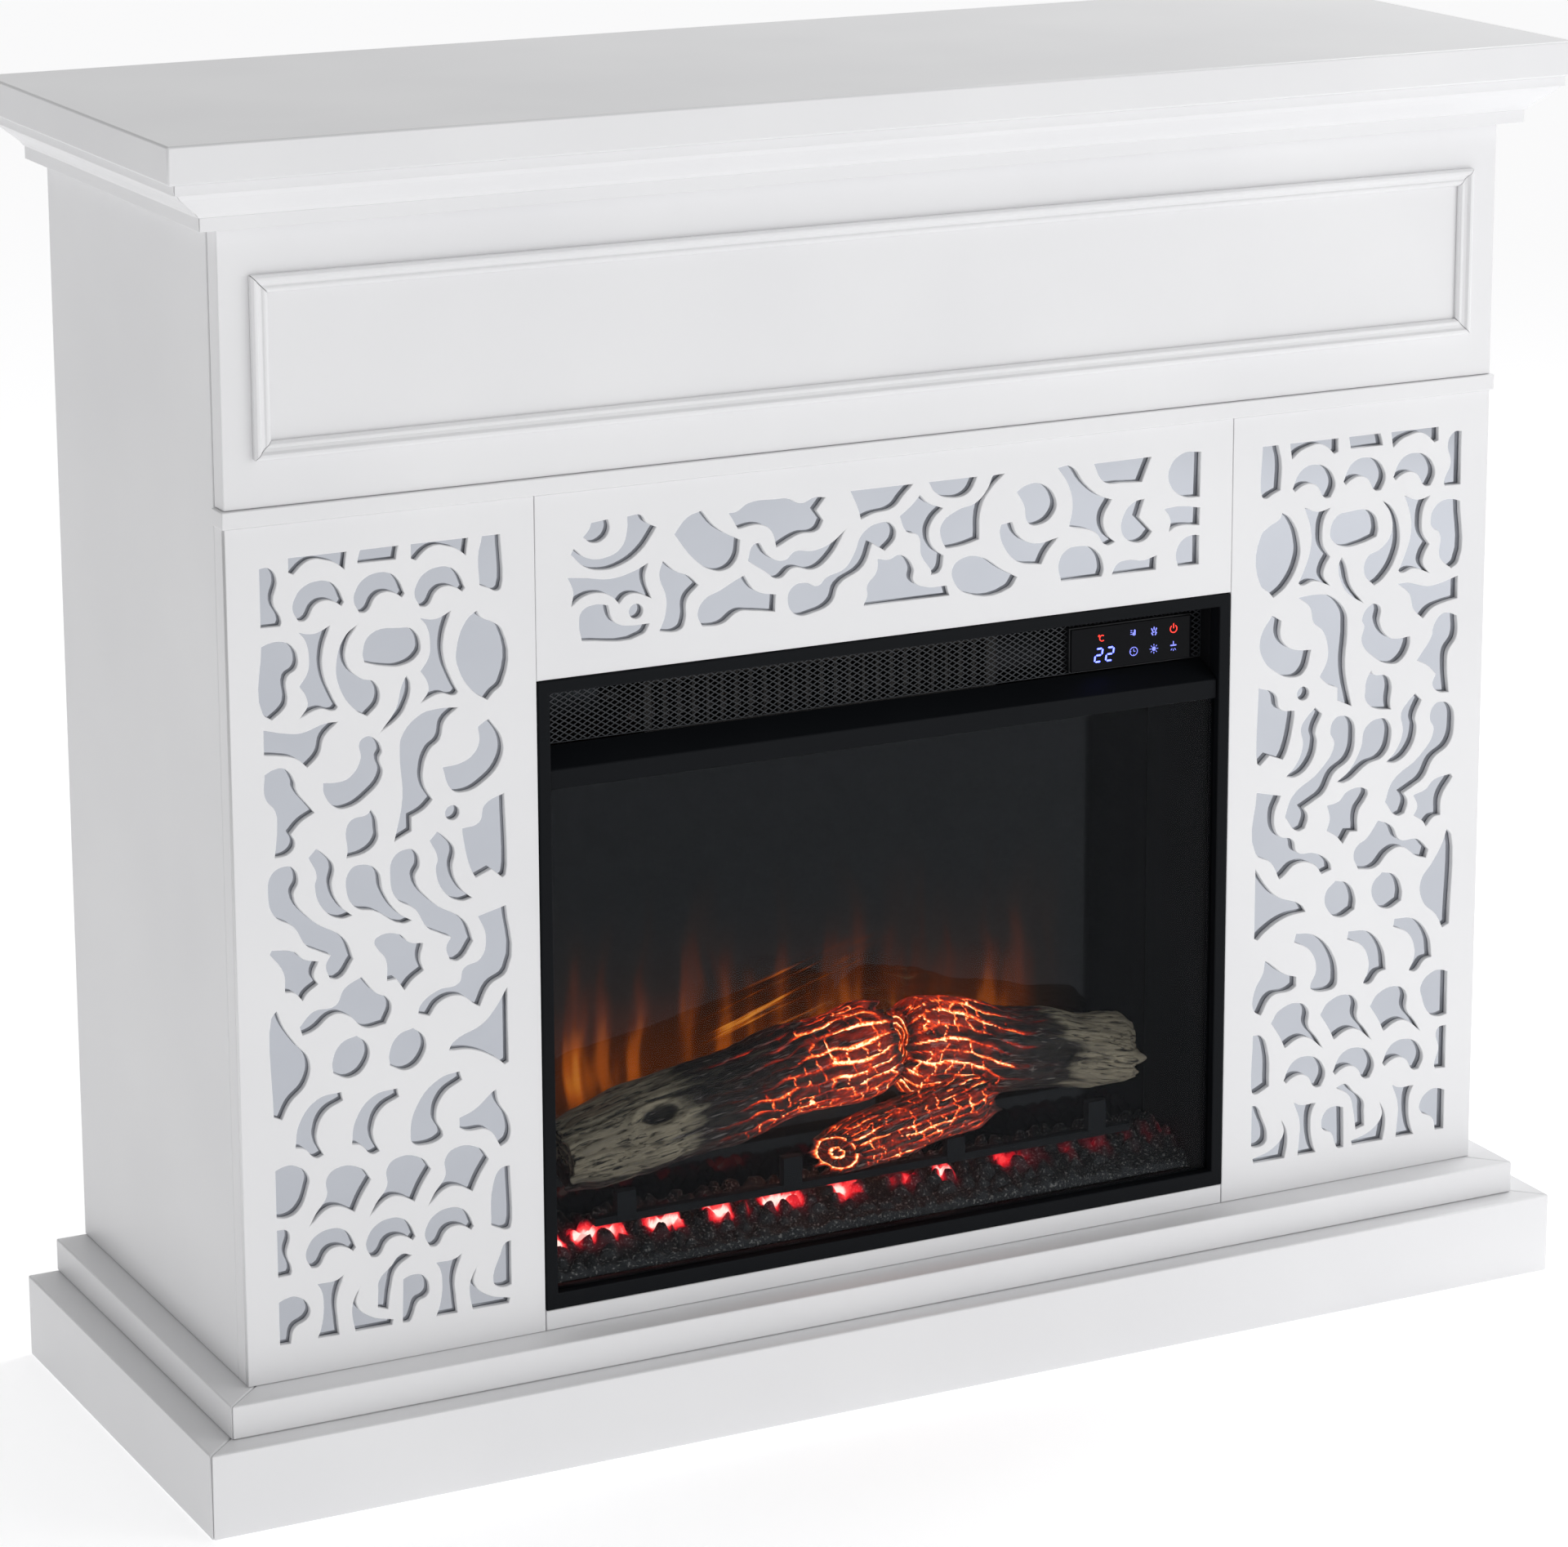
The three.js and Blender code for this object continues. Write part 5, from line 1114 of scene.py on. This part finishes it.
# A painted reflection: the left log's glow on the half-mirror is drawn as emitted light, a streaky oval
# along the log's lean.
REFLECTION = (-0.035, 0.0, 0.292)  # middle of the glow that the screen doubles
REFLECTION_RISE = 0.30  # radians, the lean of the left log
along = add_node(screen, "VectorMath", {0: spot, 1: REFLECTION}, operation="SUBTRACT")
along = add_node(screen, "VectorRotate", {
    "Vector": along.outputs[0], "Angle": REFLECTION_RISE,
}, rotation_type="Y_AXIS")
thin = add_node(screen, "Mapping", {"Vector": along.outputs[0], "Scale": (7.0, 1.0, 190.0)})
streak = add_node(screen, "TexNoise", {"Vector": thin.outputs[0], "Scale": 1.0, "Detail": 3.0})
streak = add_node(screen, "MapRange", {
    "Value": streak.outputs["Fac"], "From Min": 0.53, "From Max": 0.68,
}, interpolation_type="SMOOTHSTEP")
oval = add_node(screen, "VectorMath", {0: along.outputs[0], 1: (1.0, 0.0, 3.2)}, operation="MULTIPLY")
oval = add_node(screen, "VectorMath", {0: oval.outputs[0]}, operation="LENGTH")
oval = add_node(screen, "MapRange", {
    "Value": oval.outputs[1], "From Min": 0.04, "From Max": 0.10, "To Min": 0.62, "To Max": 0.0,
}, interpolation_type="SMOOTHSTEP")
# the painted reflection of the left log's glow, added to the tongues
painted_reflection = add_node(screen, "Math", {0: streak.outputs[0], 1: oval.outputs[0]}, operation="MULTIPLY")
total = add_node(screen, "Math", {0: lit, 1: haze.outputs[0]}, operation="ADD")
total = add_node(screen, "Math", {0: total.outputs[0], 1: painted_reflection.outputs[0]}, operation="ADD")
flame = add_node(screen, "ValToRGB", {0: total.outputs[0]})
for place, tint in ((0.10, "#1C0C03"), (0.30, "#5A2405"), (0.55, "#B2520C"), (0.90, "#FFA538")):
    flame.color_ramp.elements.new(place).color = colour(tint)
flame.color_ramp.elements[0].color = (0, 0, 0, 1)
flame.color_ramp.elements.remove(flame.color_ramp.elements[-1])
surface_of(screen, add_node(screen, "BsdfPrincipled", {
    "Base Color": colour("#070708"), "Roughness": 0.05, "IOR": 1.5,
    "Specular IOR Level": 0.2,
    "Emission Color": flame.outputs[0], "Emission Strength": 0.9,
}).outputs[0])
eased("flame_screen", 0.4 * MM, screen, "mirrored")
print("flame screen placed")

# %% [markdown]
# ## Inside the insert
# The pieces behind the firebox keep their CAD shape and get the finish that they are made in,
# save the heater fins and blower wheel, whose dark colour is painted shade for where they sit in
# shadow behind the outlet mesh.
# The folded case is black inside and zinc outside at the back. Round pieces are shaded smooth,
# with their real edges kept crisp.

# %% Insert steelwork
CARRIED_OVER = {
    "case_wrap": liner_coat, "case_top": liner_coat, "case_back": galvanised,
    # the heating element takes the dark fins colour, painted shade behind the mesh
    "heating_element": fins_dark_painted_shade, "blower_housing": liner_coat, "flame_rotor": aluminium,
    "control_board": board_green, "led_board_ember": board_green, "led_board_flame": board_green,
}
for node, material in CARRIED_OVER.items():
    nodes[node].data.materials.clear()
    nodes[node].data.materials.append(material)


def soft_copy(node, radius, material, body="fireplace"):
    """A round piece: real edges eased, everything else shaded smooth."""
    shape = working_copy(node)
    ease_edges(shape, radius, sharper_than=40)
    for face in shape.faces:
        face.smooth = True
    for edge in shape.edges:
        edge.smooth = len(edge.link_faces) == 2 and edge.calc_face_angle() < math.radians(40)
    return finish_piece(f"{node}_rounded", shape, material, [node], body)


# the blower wheel takes the same dark colour, painted shade inside its housing
soft_copy("blower_wheel", 0.15 * MM, fins_dark_painted_shade, "blower_wheel")
soft_copy("blower_motor", 0.6 * MM, liner_coat)
soft_copy("rotor_motor", 0.6 * MM, galvanised)
soft_copy("rotor_bearing", 0.5 * MM, black_abs)
soft_copy("cord_gland", 0.5 * MM, black_abs)
soft_copy("rocker_body", 0.4 * MM, black_abs)
soft_copy("power_rocker", 0.3 * MM, black_abs, "power_rocker")
print("carried over:", ", ".join(CARRIED_OVER))

# %% [markdown]
# ## Screws on the back
# The sheet back is held to the folded case by pan-head screws with a cross recess, along its
# four sides. Each head is turned from a profile, and its recess is drawn as two short dark bars
# on the dome: painted shade where the cross is pressed in.

# %% Back screws
SCREW = {"head": 3.9 * MM, "rise": 2.3 * MM, "edge": 11 * MM, "across": 6, "up": 4}


def screw_head(shape, place):
    """A domed head on a face that looks along +Y."""
    spots = [
        (SCREW["head"] * math.cos(a), SCREW["rise"] * (0.25 + 0.75 * math.sin(a)))
        for a in (math.radians(d) for d in (0, 20, 42, 66))
    ]
    outline = [(SCREW["head"], 0.0)] + spots + [(0.0, SCREW["rise"])]
    before = set(shape.verts)
    points = [shape.verts.new((r, y, 0)) for r, y in outline]
    edges = [shape.edges.new(pair) for pair in zip(points, points[1:])]
    bmesh.ops.spin(
        shape, geom=points + edges, cent=(0, 0, 0), axis=(0, 1, 0), angle=2 * math.pi,
        steps=24, use_merge=True, use_duplicate=False,
    )
    bmesh.ops.translate(shape, verts=[v for v in shape.verts if v not in before], vec=place)


# Two dark bars laid on the dome: painted shade where the cross recess is pressed in.
def cross_bars(shape, place, turn):
    for extra in (0, math.pi / 2):
        made = bmesh.ops.create_cube(shape, size=1.0)["verts"]
        bmesh.ops.scale(shape, verts=made, vec=(4.2 * MM, 0.3 * MM, 0.9 * MM))
        bmesh.ops.rotate(shape, verts=made, matrix=Matrix.Rotation(turn + extra, 3, "Y"))
        bmesh.ops.translate(shape, verts=made, vec=place)


low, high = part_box("case_back")
rim = SCREW["edge"]
places = []
for i in range(SCREW["across"]):
    x = low.x + rim + (high.x - low.x - 2 * rim) * i / (SCREW["across"] - 1)
    places += [(x, low.z + rim), (x, high.z - rim)]
for i in range(1, SCREW["up"] - 1):
    z = low.z + rim + (high.z - low.z - 2 * rim) * i / (SCREW["up"] - 1)
    places += [(low.x + rim, z), (high.x - rim, z)]
heads, recess_shade = bmesh.new(), bmesh.new()
for x, z in places:
    screw_head(heads, (x, high.y, z))
    cross_bars(recess_shade, (x, high.y + SCREW["rise"] * 0.96, z), 3.1 * wave(x / 0.01, z / 0.01))
bmesh.ops.remove_doubles(heads, verts=heads.verts, dist=0.01 * MM)
bmesh.ops.recalc_face_normals(heads, faces=heads.faces)
for face in heads.faces:
    face.smooth = True
finish_piece("back_screw_heads", heads, zinc_screw)
# the dark bars paint the shade in the cross recesses
finish_piece("back_screw_recess_shade", recess_shade, chip_black)
print(len(places), "screws on the back")

# %% [markdown]
# ## Boards and lamps
# The two long boards under the fire carry a row of square light-emitting diodes: a white body
# with a clear window. The board behind the touch panel carries a processor, a few small parts
# and a plug.

# %% Board parts
def small_blocks(name, blocks, ease, material):
    """blocks: (middle, size) pairs in metres."""
    shape = bmesh.new()
    for middle, size in blocks:
        made = bmesh.ops.create_cube(shape, size=1.0)["verts"]
        bmesh.ops.scale(shape, verts=made, vec=size)
        bmesh.ops.translate(shape, verts=made, vec=middle)
    ease_edges(shape, ease)
    return finish_piece(name, shape, material)


LED = {"side": 5.0 * MM, "rise": 1.6 * MM, "pitch": 24 * MM, "window": 3.6 * MM}
bodies, windows = [], []
for board in ("led_board_ember", "led_board_flame"):
    low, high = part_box(board)
    count = int((high.x - low.x - 20 * MM) / LED["pitch"])
    y = (low.y + high.y) / 2
    for i in range(count + 1):
        x = (low.x + high.x) / 2 + (i - count / 2) * LED["pitch"]
        bodies.append(((x, y, high.z + LED["rise"] / 2), (LED["side"], LED["side"], LED["rise"])))
        windows.append(((x, y, high.z + LED["rise"]), (LED["window"], LED["window"], 0.2 * MM)))
small_blocks("led_bodies", bodies, 0.2 * MM, white_lacquer)
small_blocks("led_windows", windows, 0.05 * MM, amber_lens)

low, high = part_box("control_board")
middle = (low + high) / 2
chips = [
    ((middle.x - 18 * MM, high.y + 0.7 * MM, middle.z), (10 * MM, 1.4 * MM, 10 * MM)),
    ((middle.x + 8 * MM, high.y + 0.6 * MM, middle.z + 5 * MM), (5 * MM, 1.2 * MM, 4 * MM)),
    ((middle.x + 8 * MM, high.y + 0.6 * MM, middle.z - 6 * MM), (5 * MM, 1.2 * MM, 4 * MM)),
    ((middle.x + 30 * MM, high.y + 3.0 * MM, middle.z), (8 * MM, 6.0 * MM, 14 * MM)),
]
small_blocks("control_board_parts", chips, 0.25 * MM, chip_black)
print(len(bodies), "lamps and", len(chips), "board parts")

# %% [markdown]
# ## Rocker marks
# The mains rocker carries the usual bar and ring, pad-printed in white on its two halves. Their
# places are found by casting a ray at the rocker's face, so that they lie flat on each half.

# %% Rocker marks
rocker = nodes["power_rocker"]
tree = bvhtree.BVHTree.FromPolygons(
    [v.co.copy() for v in rocker.data.vertices], [list(p.vertices) for p in rocker.data.polygons]
)
low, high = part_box("power_rocker")
middle = (low + high) / 2
marks = bmesh.new()
for rise, ring in ((5 * MM, False), (-5 * MM, True)):
    hit, normal, _, _ = tree.ray_cast(
        Vector((middle.x, high.y + 20 * MM, middle.z + rise)), Vector((0, -1, 0))
    )
    if ring:
        made = bmesh.ops.create_circle(marks, cap_ends=False, radius=1.7 * MM, segments=32)["verts"]
        edges = list({e for v in made for e in v.link_edges})
        grown = bmesh.ops.extrude_edge_only(marks, edges=edges)["geom"]
        inner = [g for g in grown if isinstance(g, bmesh.types.BMVert)]
        bmesh.ops.scale(marks, verts=inner, vec=(0.72, 0.72, 1))
        made = made + inner
    else:
        made = bmesh.ops.create_grid(marks, x_segments=1, y_segments=1, size=0.5)["verts"]
        bmesh.ops.scale(marks, verts=made, vec=(0.6 * MM, 3.6 * MM, 1))
    turn = normal.to_track_quat("Z", "Y").to_matrix().to_4x4()
    bmesh.ops.transform(
        marks, verts=made, matrix=Matrix.Translation(hit + normal * 0.06 * MM) @ turn
    )
finish_piece("rocker_marks", marks, white_lacquer, body="power_rocker")
print("rocker marks placed")
